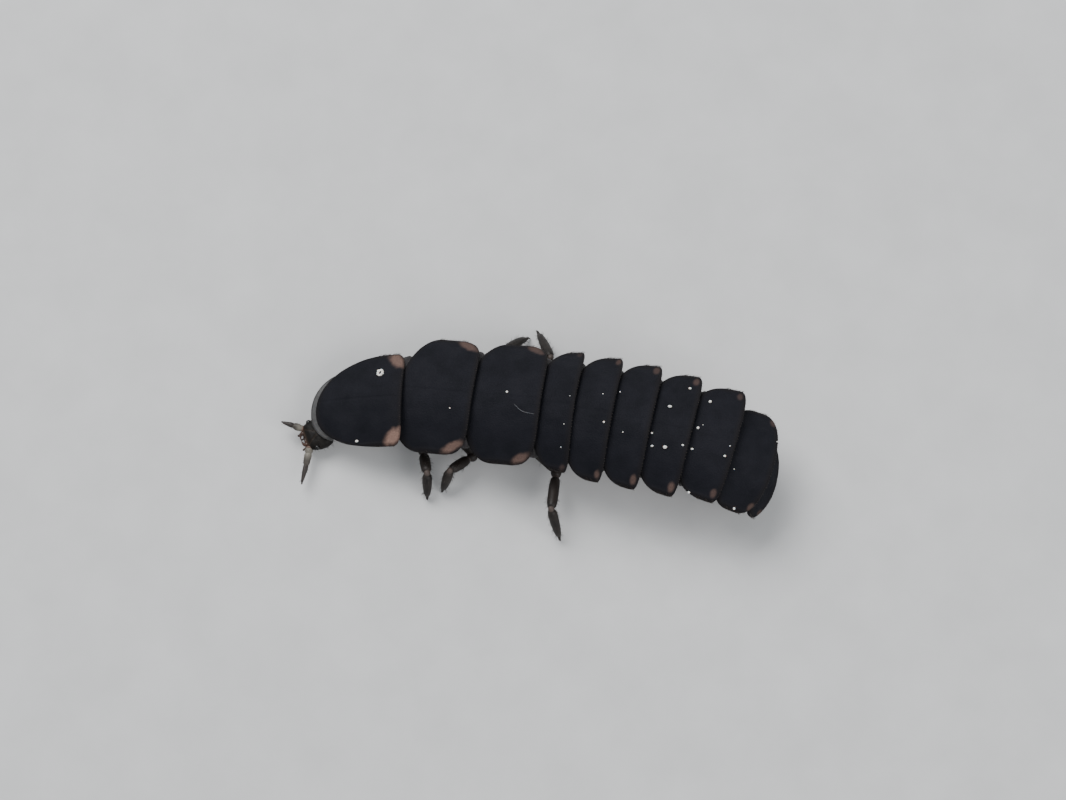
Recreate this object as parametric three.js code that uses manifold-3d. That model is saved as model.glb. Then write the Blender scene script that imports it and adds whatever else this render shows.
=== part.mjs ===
// Glow-worm larva, the wingless young of a firefly beetle, life size, in a walking pose.
// Millimetres. +X runs from head to tail, +Y to the animal's right, +Z up. Feet and tail tip rest at z = 0.

import * as THREE from "three";
import Module from "manifold-3d";
import { mergeVertices } from "three/addons/utils/BufferGeometryUtils.js";

const wasm = await Module();
wasm.setup();

// Driving dimensions of the body: one row for each segment, from the head end to the tail.
// Names of its plate and of its soft body, then length, width, yaw, pitch, shift, lean, arch and depth.
// yaw turns the segment's rear end towards the left side, pitch turns it down, shift slides it to the right.
// lean slides only the front edge of the plate to the right, where the body bends between two plates.
// arch is how far the plate's side edges hang below its middle; depth is the height of the segment.
const SEGMENTS = [
  ["pronotum", "prothorax", 4.04, 4.05, 2.6, -12, -0.15, -0.37, 0.62, 1.9],
  ["mesonotum", "mesothorax", 3.02, 5.06, 9, -8, 0.33, -0.55, 1.0, 2.35],
  ["metanotum", "metathorax", 2.93, 5.3, 8.5, -6, 0.41, -0.3, 1.28, 2.45],
  ["tergite_1", "abdomen_1", 1.43, 5.32, 9, -8, 0.36, 0, 1.3, 2.5],
  ["tergite_2", "abdomen_2", 1.63, 5.5, 11, -5, 0.28, 0, 1.34, 2.55],
  ["tergite_3", "abdomen_3", 1.67, 5.5, 12.5, -3, 0.26, 0, 1.28, 2.5],
  ["tergite_4", "abdomen_4", 1.72, 5.36, 14, -1, 0.24, 0, 1.2, 2.42],
  ["tergite_5", "abdomen_5", 1.93, 5.02, 16, 4, 0.26, 0, 1.0, 2.2],
  ["tergite_6", "abdomen_6", 1.9, 4.46, 16, 22, -0.05, 0, 0.9, 1.56],
  ["tergite_7", "abdomen_7", 1.36, 3.8, 11, 77, -0.25, 0, 0.6, 1.12],
  ["tergite_8", "abdomen_8", 1.02, 3.0, 12, 92, -0.25, 0, 0.5, 1.25],
  ["tergite_9", "abdomen_9", 0.78, 2.1, 14, 100, -0.25, 0, 0.35, 1.2],
].map(([plate, flesh, length, width, yaw, pitch, shift, lean, arch, depth]) => (
  { plate, flesh, length, width, yaw, pitch, shift, lean, arch, depth }
));
const THORAX_PLATES = 3;
const TAIL_PLATES = 4;
const PRONOTUM_REAR = new THREE.Vector3(-6.06, 0.98, 3.22);
const MODEL_CENTRE = new THREE.Vector3(-0.66, -0.07, 0);

// Back plates, which overlap like roof tiles
const PLATE_THICKNESS = 0.3;
const PLATE_EDGE = 0.13;
const PLATE_STEP = 0.36;
const PLATE_TUCK = 0.34;
const TUCK_SHARE = 0.2;
const TUCK_LOST_PER_DEGREE = 0.0125;
const PLATE_COLUMNS = 14;
const PLATE_ROLLED_EDGE = 0.04;
const ARCH_POWER = 2.2;
const PRONOTUM_DROOP = 0.6;
const RIM_WIDTH = 0.26;
const RIM_ROOT = 0.3;
const RIM_THICKNESS = 0.1;
const RIM_ROOT_THICKNESS = 0.16;
const RIM_GAP = 0.06;
const RIM_SPREAD = 1.6;
const RIM_NARROWING = 0.75;
const RIM_REACH = 41;
const RIM_STATIONS = 15;

// Soft body under the plates
const FLESH_GAP = 0.12;
const FLESH_WIDTH = 0.8;
const SEGMENT_GAP = 0.12;
const RAISED_PLATE = 0.07;
const FLESH_POWER = 0.8;
const PROTHORAX_START = 0.36;
const NECK_TAPER = 0.8;

// Legs
const LEG_GAP = 0.1;
const HIP_ANGLE = 52;
const COXA_RADIUS = 0.42;
const DEGREES_PER_MM = 33;
const TROCHANTER = 0.42;
const TROCHANTER_RADII = [0.28, 0.27, 0.25];
const FEMUR_RADII = [0.25, 0.29, 0.28, 0.24];
const TIBIA_RADII = [0.23, 0.25, 0.22, 0.17, 0.1];
const BEND_SHARE = 0.6;
const CLAW_FLAT = 0.07;
const CLAW_RADIUS = 0.1;
const CLAW_HEIGHT = 0.16;
const LEG_SIDES = 10;

// Head, seen from its own frame: -X forward, +Z up
const HEAD_CENTRE = new THREE.Vector3(-9.72, -0.2, 0.7);
const HEAD_YAW = 20;
const HEAD_LENGTH = 1.22;
const HEAD_WIDTH = 1.36;
const HEAD_HEIGHT = 0.76;
const EYE_RADIUS = 0.12;
const EYE_GAP = 0.03;
const ANTENNA_RADII = [0.24, 0.25, 0.2, 0.18, 0.1];
const MANDIBLE_RADII = [0.13, 0.12, 0.09, 0.035];
const MANDIBLE_PATH = [[-0.67, 0.24, 0], [-0.74, 0.26, -0.02], [-0.82, 0.18, -0.05], [-0.85, 0.07, -0.07]];
const HEAD_GAP = 0.06;

// Tail holdfast
const HOLDFAST_FINGERS = 8;
const HOLDFAST_FINGER_RADIUS = 0.14;
const HOLDFAST_SPREAD = 0.52;
const HOLDFAST_STEM_RADII = [0.42, 0.4, 0.34];
const HOLDFAST_FINGER_RADII = [0.13, 0.14, 0.12];

const COLOURS = {
  plate: 0x1f1f24,
  rim: 0x5a5754,
  flesh: 0x8a6258,
  leg: 0x2a2320,
  head: 0x2c2621,
  eye: 0x050505,
  antenna: 0x4a423d,
  mouth: 0x5a3523,
  holdfast: 0xc9b39c,
};

const larva = new THREE.Group();
larva.position.copy(MODEL_CENTRE).negate();

function addMesh(name, geometry, colour, roughness = 0.8, parent = larva) {
  const material = new THREE.MeshStandardMaterial({ color: colour, roughness, metalness: 0 });
  const mesh = new THREE.Mesh(geometry, material);
  mesh.name = name;
  parent.add(mesh);
  return mesh;
}

// Closed surface helpers

function signedVolume(positions, index) {
  let volume = 0;
  const [a, b, c] = [new THREE.Vector3(), new THREE.Vector3(), new THREE.Vector3()];
  for (let i = 0; i < index.length; i += 3) {
    a.copy(positions[index[i]]);
    b.copy(positions[index[i + 1]]);
    c.copy(positions[index[i + 2]]);
    volume += a.dot(b.cross(c));
  }
  return volume;
}

function closedGeometry(positions, index) {
  if (signedVolume(positions, index) < 0) {
    index.reverse();
  }
  const geometry = new THREE.BufferGeometry();
  geometry.setFromPoints(positions);
  geometry.setIndex(index);
  geometry.computeVertexNormals();
  return geometry;
}

function centroid(points) {
  const middle = new THREE.Vector3();
  points.forEach((point) => middle.add(point));
  return middle.divideScalar(points.length);
}

// Skins a row of rings, each with the same number of points, and closes both ends with a fan.
function loft(rings) {
  const sides = rings[0].length;
  const positions = rings.flat();
  const index = [];
  for (let row = 0; row + 1 < rings.length; row += 1) {
    for (let side = 0; side < sides; side += 1) {
      const next = (side + 1) % sides;
      const [a, b] = [row * sides + side, row * sides + next];
      index.push(a, b, b + sides, a, b + sides, a + sides);
    }
  }
  const last = (rings.length - 1) * sides;
  const [first, end] = [positions.length, positions.length + 1];
  positions.push(centroid(rings[0]), centroid(rings[rings.length - 1]));
  for (let side = 0; side < sides; side += 1) {
    const next = (side + 1) % sides;
    index.push(first, next, side);
    index.push(end, last + side, last + next);
  }
  return closedGeometry(positions, index);
}

function toSolid(geometry) {
  const bare = geometry.clone();
  bare.deleteAttribute("normal");
  bare.deleteAttribute("uv");
  const merged = mergeVertices(bare, 1e-5);
  return new wasm.Manifold(new wasm.Mesh({
    numProp: 3,
    vertProperties: new Float32Array(merged.attributes.position.array),
    triVerts: new Uint32Array(merged.index.array),
  }));
}

function fromSolid(solid) {
  const bodies = solid.decompose();
  bodies.sort((a, b) => b.volume() - a.volume());
  const mesh = bodies[0].getMesh();
  const geometry = new THREE.BufferGeometry();
  geometry.setAttribute("position", new THREE.BufferAttribute(mesh.vertProperties.slice(), 3));
  geometry.setIndex(Array.from(mesh.triVerts));
  geometry.computeVertexNormals();
  return geometry;
}

// A tapered round tube through a few points, with rounded ends.
const TUBE_END = 0.75;
const TUBE_SHOULDER = 0.3;

function taperedTube(points, radii, sides = LEG_SIDES, steps = points.length - 1) {
  const curve = new THREE.CatmullRomCurve3(points);
  const up = Math.abs(curve.getTangent(0).z) > 0.9 ? new THREE.Vector3(1, 0, 0) : new THREE.Vector3(0, 0, 1);
  const rings = [];
  const addRing = (t, radius) => {
    const tangent = curve.getTangent(t);
    const across = new THREE.Vector3().crossVectors(up, tangent).normalize();
    const over = new THREE.Vector3().crossVectors(tangent, across);
    const centre = curve.getPoint(t);
    rings.push(ringAround(centre, across, over, radius, sides));
  };
  const radiusAt = (t) => {
    const place = t * (radii.length - 1);
    const low = Math.min(Math.floor(place), radii.length - 2);
    return THREE.MathUtils.lerp(radii[low], radii[low + 1], place - low);
  };
  const shoulder = TUBE_SHOULDER / steps;
  addRing(0, radii[0] * TUBE_END);
  addRing(shoulder, radiusAt(shoulder));
  for (let step = 1; step < steps; step += 1) {
    addRing(step / steps, radiusAt(step / steps));
  }
  addRing(1 - shoulder, radiusAt(1 - shoulder));
  addRing(1, radii[radii.length - 1] * TUBE_END);
  return rings;
}

function ringAround(centre, across, over, radius, sides) {
  return Array.from({ length: sides }, (_, side) => {
    const angle = (side / sides) * Math.PI * 2;
    return centre.clone()
      .addScaledVector(across, radius * Math.cos(angle))
      .addScaledVector(over, radius * Math.sin(angle));
  });
}

// The line of the back: one frame at the front of each segment and one at the tail's end

const radians = THREE.MathUtils.degToRad;

function heading(yaw, pitch) {
  const [y, p] = [radians(yaw), radians(pitch)];
  return new THREE.Vector3(Math.cos(p) * Math.cos(y), -Math.cos(p) * Math.sin(y), -Math.sin(p));
}

function backLine() {
  const points = [new THREE.Vector3()];
  SEGMENTS.forEach((segment) => {
    const end = points[points.length - 1].clone();
    points.push(end.addScaledVector(heading(segment.yaw, segment.pitch), segment.length));
  });
  const shift = PRONOTUM_REAR.clone().sub(points[1]);
  points.forEach((point) => point.add(shift));
  return points;
}

const BACK = backLine();

// A value that holds at each segment's middle, blended between them along the body.
function alongBody(place, key) {
  const low = THREE.MathUtils.clamp(Math.floor(place - 0.5), 0, SEGMENTS.length - 1);
  const high = THREE.MathUtils.clamp(low + 1, 0, SEGMENTS.length - 1);
  const share = THREE.MathUtils.clamp(place - 0.5 - low, 0, 1);
  return THREE.MathUtils.lerp(SEGMENTS[low][key], SEGMENTS[high][key], share);
}

function backPoint(place) {
  const low = Math.min(Math.floor(place), SEGMENTS.length - 1);
  return BACK[low].clone().lerp(BACK[low + 1], place - low);
}

function frameAt(origin, yaw, pitch, shift) {
  const along = heading(yaw, pitch);
  const across = new THREE.Vector3(Math.sin(radians(yaw)), Math.cos(radians(yaw)), 0);
  const up = new THREE.Vector3().crossVectors(along, across);
  return { origin: origin.addScaledVector(across, shift), along, across, up };
}

function bodyFrame(place) {
  const [yaw, pitch, shift] = ["yaw", "pitch", "shift"].map((key) => alongBody(place, key));
  return frameAt(backPoint(place), yaw, pitch, shift);
}

function plateFrame(segmentIndex) {
  const { yaw, pitch, shift } = SEGMENTS[segmentIndex];
  return frameAt(BACK[segmentIndex].clone(), yaw, pitch, shift);
}

function inFrame(frame, x, y, z) {
  return frame.origin.clone()
    .addScaledVector(frame.along, x)
    .addScaledVector(frame.across, y)
    .addScaledVector(frame.up, z);
}

// Back plates

function signedPower(value, power) {
  return Math.sign(value) * Math.abs(value) ** power;
}

// widest is the widest place as a share of the length; front and rear are super-ellipse powers.
const PLATE_SHAPES = {
  pronotum: {
    widest: 0.83, front: 2.13, rear: 4, taper: 0.02, droop: PRONOTUM_DROOP, rows: [0, 0.1, 0.3, 0.6, 1],
  },
  thorax: { widest: 0.45, front: 2.4, rear: 4.7, taper: 0, droop: 0, rows: [0, 0.12, 0.65, 1] },
  abdomen: { widest: 0.78, front: 3.1, rear: 4.5, taper: 0.06, droop: 0, rows: [0, 0.15, 0.6, 1] },
  tail: { widest: 0.54, front: 3.3, rear: 3.8, taper: 0.04, droop: 0, rows: [0, 0.15, 0.6, 1] },
};

function plateKind(segmentIndex) {
  if (segmentIndex < THORAX_PLATES) {
    return PLATE_SHAPES.thorax;
  }
  return segmentIndex < SEGMENTS.length - TAIL_PLATES ? PLATE_SHAPES.abdomen : PLATE_SHAPES.tail;
}

// Where the body bends down sharply a plate tucks less far under the one before it.
function plateShape(segmentIndex) {
  if (segmentIndex === 0) {
    return { ...PLATE_SHAPES.pronotum, tuck: 0 };
  }
  const bend = SEGMENTS[segmentIndex].pitch - SEGMENTS[segmentIndex - 1].pitch;
  const kind = plateKind(segmentIndex);
  const tuck = Math.min(PLATE_TUCK, TUCK_SHARE * SEGMENTS[segmentIndex].length);
  return { ...kind, tuck: tuck - TUCK_LOST_PER_DEGREE * bend };
}

// A place on the plate's plan: along runs from its front edge to its rear edge, across from -1 to 1.
// The outline is two half super-ellipses, rounder in front and squarer behind, about the widest place.
function platePlan(segment, shape, along, across) {
  const length = segment.length + shape.tuck;
  const [front, rear] = [length * shape.widest, length * (1 - shape.widest)];
  const side = Math.min(Math.abs(across), 0.99);
  const frontX = -front * (1 - side ** shape.front) ** (1 / shape.front);
  const rearX = rear * (1 - side ** shape.rear) ** (1 / shape.rear);
  const x = THREE.MathUtils.lerp(frontX, rearX, along);
  const ahead = Math.max(0, -x / front);
  const half = (segment.width / 2) * (1 - shape.taper * ahead);
  return { x: x + front - shape.tuck, y: across * half + segment.lean * ahead ** 2 };
}

function plateTop(segment, shape, x, y) {
  const length = segment.length + shape.tuck;
  const share = (x + shape.tuck) / length;
  const arch = segment.arch * Math.abs(y / (segment.width / 2)) ** ARCH_POWER;
  return -PLATE_STEP * (1 - share) - arch - shape.droop * Math.max(0, 1 - share) ** 2;
}

// 1 well inside the plate, falling to 0 at its edge.
function plateFullness(along, across) {
  const ends = Math.min(along / 0.15, (1 - along) / 0.4, 1);
  const sides = Math.min((1 - Math.abs(across)) / 0.1, 1);
  return Math.max(0, Math.min(ends, sides));
}

function plateGeometry(segmentIndex) {
  const segment = SEGMENTS[segmentIndex];
  const shape = plateShape(segmentIndex);
  const frame = plateFrame(segmentIndex);
  const columns = Array.from({ length: PLATE_COLUMNS + 1 }, (_, column) => (
    Math.sin((column / PLATE_COLUMNS - 0.5) * Math.PI)
  ));
  const surface = (along, across, under) => {
    const { x, y } = platePlan(segment, shape, along, across);
    const fullness = plateFullness(along, across);
    const rolled = PLATE_ROLLED_EDGE * (1 - fullness);
    const thickness = THREE.MathUtils.lerp(PLATE_EDGE, PLATE_THICKNESS, fullness);
    return inFrame(frame, x, y, plateTop(segment, shape, x, y) - rolled - (under ? thickness : 0));
  };
  // Each ring runs over the top from the front edge to the rear edge and back underneath.
  const backwards = [...shape.rows].reverse();
  const rings = columns.map((across) => [
    ...shape.rows.map((along) => surface(along, across, false)),
    ...backwards.map((along) => surface(along, across, true)),
  ]);
  return loft(rings);
}

SEGMENTS.forEach((segment, segmentIndex) => {
  addMesh(segment.plate, plateGeometry(segmentIndex), COLOURS.plate, 0.85);
});

// Pale crescent under the front edge of the pronotum

function rimGeometry() {
  const segment = SEGMENTS[0];
  const shape = plateShape(0);
  const frame = plateFrame(0);
  const centreX = segment.length * shape.widest;
  const rings = Array.from({ length: RIM_STATIONS }, (_, station) => {
    const share = (station / (RIM_STATIONS - 1)) * 2 - 1;
    const angle = Math.PI + radians(RIM_REACH) * share;
    const power = 2 / shape.front;
    const x = centreX + signedPower(Math.cos(angle), power) * centreX;
    const ahead = 1 - x / centreX;
    const y = signedPower(Math.sin(angle), power) * (segment.width / 2) + segment.lean * ahead ** 2;
    const outward = new THREE.Vector2(x - centreX, y * RIM_SPREAD).normalize();
    const width = RIM_WIDTH * (1 - RIM_NARROWING * Math.abs(share) ** 3);
    const top = plateTop(segment, shape, x, y) - PLATE_EDGE - RIM_GAP;
    const corner = (out, down) => inFrame(frame, x + outward.x * out, y + outward.y * out, top - down);
    return [
      corner(-RIM_ROOT, 0), corner(width, 0),
      corner(width, RIM_THICKNESS), corner(-RIM_ROOT, RIM_ROOT_THICKNESS),
    ];
  });
  return loft(rings);
}

addMesh("pronotum_rim", rimGeometry(), COLOURS.rim, 0.5);

// Soft body: one closed barrel for each segment, with its belly and side plates raised on it

const SECTION = [
  { angle: 0 }, { angle: 30 }, { angle: 60 }, { angle: 90 }, { angle: 120 }, { angle: 150 }, { angle: 180 },
  { angle: 192 }, { angle: 197, raised: true }, { angle: 222, raised: true }, { angle: 227 },
  { angle: 236 }, { angle: 241, raised: true }, { angle: 270, raised: true }, { angle: 299, raised: true },
  { angle: 304 }, { angle: 313 }, { angle: 318, raised: true }, { angle: 343, raised: true }, { angle: 348 },
];
const STATIONS = [
  { share: 0 }, { share: 0.12 }, { share: 0.18, raised: true }, { share: 0.5, raised: true },
  { share: 0.8, raised: true }, { share: 0.86 }, { share: 1 },
];

function fleshPoint(place, angleDegrees, lift = 0) {
  const frame = bodyFrame(place);
  const angle = radians(angleDegrees);
  const half = (alongBody(place, "width") / 2) * FLESH_WIDTH * headTaper(place);
  const arch = alongBody(place, "arch") * FLESH_WIDTH ** ARCH_POWER;
  const roof = PLATE_STEP + PLATE_THICKNESS + FLESH_GAP + frontDroop(place);
  const y = half * Math.cos(angle);
  const side = -roof - arch;
  const floor = alongBody(place, "depth") + side;
  const over = Math.sin(angle) >= 0;
  const z = over
    ? -roof - arch * Math.abs(Math.cos(angle)) ** ARCH_POWER
    : side - floor * Math.abs(Math.sin(angle)) ** FLESH_POWER;
  const outward = over ? Math.sin(angle) : -Math.abs(Math.sin(angle));
  return inFrame(frame, 0, y + lift * Math.cos(angle), z + lift * outward);
}

// The prothorax narrows towards the neck, and drops with the front of its plate.
function headTaper(place) {
  return 1 - NECK_TAPER * Math.max(0, 1 - place) ** 1.3;
}

function frontDroop(place) {
  return PRONOTUM_DROOP * Math.max(0, 1 - place) ** 2;
}

function fleshGeometry(segmentIndex) {
  const { length } = SEGMENTS[segmentIndex];
  const inset = SEGMENT_GAP / 2 / length;
  const start = segmentIndex === 0 ? PROTHORAX_START : inset;
  const end = 1 - inset;
  const rings = STATIONS.map((station) => {
    const place = segmentIndex + THREE.MathUtils.lerp(start, end, station.share);
    return SECTION.map(({ angle, raised }) => (
      fleshPoint(place, angle, raised && station.raised ? RAISED_PLATE : 0)
    ));
  });
  return loft(rings);
}

SEGMENTS.forEach((segment, segmentIndex) => {
  addMesh(segment.flesh, fleshGeometry(segmentIndex), COLOURS.flesh, 0.7);
});

// Legs: coxa, femur with its trochanter, and tibia with the foot and claw

// One row for each leg: its name, side, place on the body, elbow, knee and foot.
// side is -1 for the animal's left. The place is the segment and the share of its length where the leg grows.
const LEGS = [
  ["leg_front_left", -1, 0.86, [-5.26, -0.78, 0.7], [-5.02, -2.1, 1.4], [-5.05, -2.95]],
  ["leg_middle_left", -1, 1.76, [-2.98, -1.15, 0.85], [-4.05, -2.02, 1.5], [-4.45, -2.6]],
  ["leg_hind_left", -1, 2.8, [0.5, -1.85, 1.05], [0.26, -3.75, 1.75], [0.68, -4.76]],
  ["leg_front_right", 1, 0.8, [-6.6, 2.2, 0.75], [-7.1, 2.85, 1.0], [-7.7, 2.9]],
  ["leg_middle_right", 1, 1.76, [-2.9, 2.4, 0.85], [-1.66, 3.36, 1.5], [-0.62, 4.25]],
  ["leg_hind_right", 1, 2.74, [-0.7, 2.1, 1.1], [0.25, 2.95, 1.6], [-0.38, 4.62]],
].map(([name, side, at, elbow, knee, foot]) => ({ name, side, at, elbow, knee, foot }));

// The coxa starts on a ring that follows the belly's own surface.
function coxaRings(leg, elbow) {
  const hipAngle = 270 + leg.side * (90 - HIP_ANGLE);
  const segmentLength = SEGMENTS[Math.floor(leg.at)].length;
  const hip = Array.from({ length: LEG_SIDES }, (_, side) => {
    const angle = (side / LEG_SIDES) * Math.PI * 2;
    const place = leg.at + (COXA_RADIUS * Math.cos(angle)) / segmentLength;
    const around = hipAngle + COXA_RADIUS * DEGREES_PER_MM * Math.sin(angle);
    return fleshPoint(place, around, RAISED_PLATE + LEG_GAP);
  });
  const middle = centroid(hip);
  const reach = elbow.clone().sub(middle);
  const moved = (share, scale) => hip.map((point) => (
    point.clone().sub(middle).multiplyScalar(scale).add(middle).addScaledVector(reach, share)
  ));
  return [hip, moved(0.4, 1), moved(0.85, 0.72), moved(1.1, 0.4)];
}

// Two round pieces that meet at a bend stop this far short of it.
function bendClearance(before, bend, after, radius) {
  const incoming = bend.clone().sub(before);
  const outgoing = after.clone().sub(bend);
  return BEND_SHARE * radius * Math.tan(incoming.angleTo(outgoing) / 2) + LEG_GAP / 2;
}

function legSolids(leg) {
  const elbow = new THREE.Vector3(...leg.elbow);
  const knee = new THREE.Vector3(...leg.knee);
  const foot = new THREE.Vector3(leg.foot[0], leg.foot[1], 0);
  const thigh = knee.clone().sub(elbow).normalize();
  const onThigh = (distance) => elbow.clone().addScaledVector(thigh, distance);
  const kneeGap = bendClearance(elbow, knee, foot, FEMUR_RADII[3] * 0.8);
  const thighEnd = elbow.distanceTo(knee) - kneeGap;
  const coxa = toSolid(loft(coxaRings(leg, elbow)));
  const trochanter = toSolid(loft(taperedTube([elbow, onThigh(TROCHANTER / 2), onThigh(TROCHANTER)],
    TROCHANTER_RADII)));
  const femurStart = TROCHANTER + LEG_GAP;
  const femur = taperedTube([onThigh(femurStart), onThigh((femurStart + thighEnd) / 2), onThigh(thighEnd)],
    FEMUR_RADII);
  const shin = foot.clone().sub(knee).normalize();
  const tibiaStart = knee.clone().addScaledVector(shin, kneeGap);
  const ankle = knee.clone().lerp(foot, 0.62).add(new THREE.Vector3(0, leg.side * 0.08, 0.06));
  const tibia = taperedTube([tibiaStart, tibiaStart.clone().lerp(ankle, 0.5), ankle, foot], TIBIA_RADII);
  const outward = foot.clone().sub(knee).setZ(0).normalize();
  const across = new THREE.Vector3(-outward.y, outward.x, 0);
  const flatRing = (height, radius) => (
    ringAround(foot.clone().setZ(height), across, outward, radius, LEG_SIDES)
  );
  tibia.splice(-2, 2, flatRing(CLAW_HEIGHT, CLAW_RADIUS), flatRing(0, CLAW_FLAT));
  return { coxa: fromSolid(coxa.add(trochanter)), femur: loft(femur), tibia: loft(tibia) };
}

LEGS.forEach((leg) => {
  Object.entries(legSolids(leg)).forEach(([joint, geometry]) => {
    addMesh(`${leg.name}_${joint}`, geometry, COLOURS.leg, 0.5);
  });
});

// Head

const head = new THREE.Group();
head.position.copy(HEAD_CENTRE);
head.rotation.z = radians(HEAD_YAW);
larva.add(head);

// x along the head as a share of its half length, then half width, top and bottom as shares.
const HEAD_STATIONS = [
  { x: 1, width: 0.5, top: 0.45, bottom: 0.5 },
  { x: 0.72, width: 0.86, top: 0.85, bottom: 0.85 },
  { x: 0.3, width: 1, top: 1, bottom: 1 },
  { x: -0.2, width: 1, top: 0.98, bottom: 0.96 },
  { x: -0.62, width: 0.9, top: 0.8, bottom: 0.8 },
  { x: -0.88, width: 0.76, top: 0.52, bottom: 0.5 },
  { x: -1, width: 0.6, top: 0.3, bottom: 0.28 },
];
const HEAD_SIDES = 18;
const HEAD_SQUARENESS = 2.6;

function headRing({ x, width, top, bottom }) {
  return Array.from({ length: HEAD_SIDES }, (_, side) => {
    const angle = (side / HEAD_SIDES) * Math.PI * 2;
    const power = 2 / HEAD_SQUARENESS;
    const up = Math.sin(angle) > 0 ? top : bottom;
    return new THREE.Vector3(
      (x * HEAD_LENGTH) / 2,
      signedPower(Math.cos(angle), power) * width * (HEAD_WIDTH / 2),
      signedPower(Math.sin(angle), power) * up * (HEAD_HEIGHT / 2),
    );
  });
}

function sphere(radius, place) {
  const geometry = new THREE.SphereGeometry(radius, 12, 8);
  geometry.translate(place.x, place.y, place.z);
  return geometry;
}

const EYE_PLACE = { x: -0.25, y: 0.585, z: 0.14 };

function eyeCentre(side) {
  return new THREE.Vector3(EYE_PLACE.x, side * EYE_PLACE.y, EYE_PLACE.z);
}

function headGeometry() {
  let solid = toSolid(loft(HEAD_STATIONS.map(headRing)));
  [-1, 1].forEach((side) => {
    solid = solid.subtract(toSolid(sphere(EYE_RADIUS + EYE_GAP, eyeCentre(side))));
  });
  return fromSolid(solid);
}

addMesh("head", headGeometry(), COLOURS.head, 0.45, head);

const SIDES = [
  { label: "left", side: -1 },
  { label: "right", side: 1 },
];

SIDES.forEach(({ label, side }) => {
  addMesh(`eye_${label}`, sphere(EYE_RADIUS, eyeCentre(side)), COLOURS.eye, 0.15, head);
});

// splay is the feeler's angle out from straight ahead, and bend turns its outer part forward again.
const ANTENNAE = {
  left: { length: 1.5, splay: 60, bend: -3, rise: -0.05 },
  right: { length: 0.88, splay: 38, bend: -2, rise: 0.12 },
};

function antennaGeometry(side, { length, splay, bend, rise }) {
  const start = new THREE.Vector3(-0.6, side * 0.46, 0.02);
  const direction = (angle) => (
    new THREE.Vector3(-Math.cos(radians(angle)), side * Math.sin(radians(angle)), rise)
  );
  const root = start.clone().addScaledVector(direction(splay), HEAD_GAP * 2.2);
  const middle = root.clone().addScaledVector(direction(splay), length * 0.5);
  const tip = middle.clone().addScaledVector(direction(splay + bend), length * 0.5);
  return loft(taperedTube([root, root.clone().lerp(middle, 0.5), middle, middle.clone().lerp(tip, 0.5), tip],
    ANTENNA_RADII, 10));
}

SIDES.forEach(({ label, side }) => {
  addMesh(`antenna_${label}`, antennaGeometry(side, ANTENNAE[label]), COLOURS.antenna, 0.5, head);
});

function mandibleGeometry(side) {
  const points = MANDIBLE_PATH.map(([x, y, z]) => new THREE.Vector3(x, side * y, z));
  return loft(taperedTube(points, MANDIBLE_RADII, 8));
}

SIDES.forEach(({ label, side }) => {
  addMesh(`mandible_${label}`, mandibleGeometry(side), COLOURS.mouth, 0.3, head);
});

// Lower mouthparts: a broad base under the head with two stout pairs of palps
const MOUTH_BASE = [
  { x: -0.24, z: -0.5, half: 0.4 },
  { x: -0.46, z: -0.45, half: 0.42 },
  { x: -0.66, z: -0.34, half: 0.3 },
];
const MOUTH_BASE_RADIUS = 0.1;
const MAXILLARY_PALP = {
  path: [[-0.6, 0.28, -0.36], [-0.76, 0.34, -0.4], [-0.87, 0.34, -0.46]],
  radii: [0.14, 0.11, 0.06],
};
const LABIAL_PALP = {
  path: [[-0.6, 0.09, -0.4], [-0.71, 0.1, -0.46], [-0.8, 0.1, -0.51]],
  radii: [0.08, 0.06, 0.04],
};

function lowerMouthGeometry() {
  const base = MOUTH_BASE.map(({ x, z, half }) => ringAround(
    new THREE.Vector3(x, 0, z), new THREE.Vector3(0, half / MOUTH_BASE_RADIUS, 0), new THREE.Vector3(0, 0, 1),
    MOUTH_BASE_RADIUS, 12,
  ));
  let solid = toSolid(loft(base));
  SIDES.forEach(({ side }) => {
    [MAXILLARY_PALP, LABIAL_PALP].forEach(({ path, radii }) => {
      const points = path.map(([x, y, z]) => new THREE.Vector3(x, side * y, z));
      solid = solid.add(toSolid(loft(taperedTube(points, radii, 8))));
    });
  });
  return fromSolid(solid);
}

addMesh("palps", lowerMouthGeometry(), COLOURS.mouth, 0.4, head);

// Neck: a soft tube from the back of the head to the front of the prothorax
function neckGeometry() {
  head.updateMatrix();
  const behindHead = headRing(HEAD_STATIONS[0]).map((point) => (
    point.clone().setX(HEAD_LENGTH / 2 + HEAD_GAP).applyMatrix4(head.matrix)
  ));
  const frame = bodyFrame(PROTHORAX_START);
  const across = Array.from({ length: HEAD_SIDES }, (_, side) => {
    const angle = (side / HEAD_SIDES) * 360;
    return fleshPoint(PROTHORAX_START, angle).addScaledVector(frame.along, -SEGMENT_GAP);
  });
  const middle = centroid(across);
  const front = across.map((point) => point.lerp(middle, 0.25));
  const between = (share, swell) => {
    const ring = behindHead.map((point, side) => point.clone().lerp(front[side], share));
    const centre = centroid(ring);
    return ring.map((point) => point.sub(centre).multiplyScalar(swell).add(centre));
  };
  return loft([between(0, 1), between(0.3, 1.06), between(0.7, 1), between(1, 1)]);
}

addMesh("neck", neckGeometry(), COLOURS.flesh, 0.6);

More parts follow.
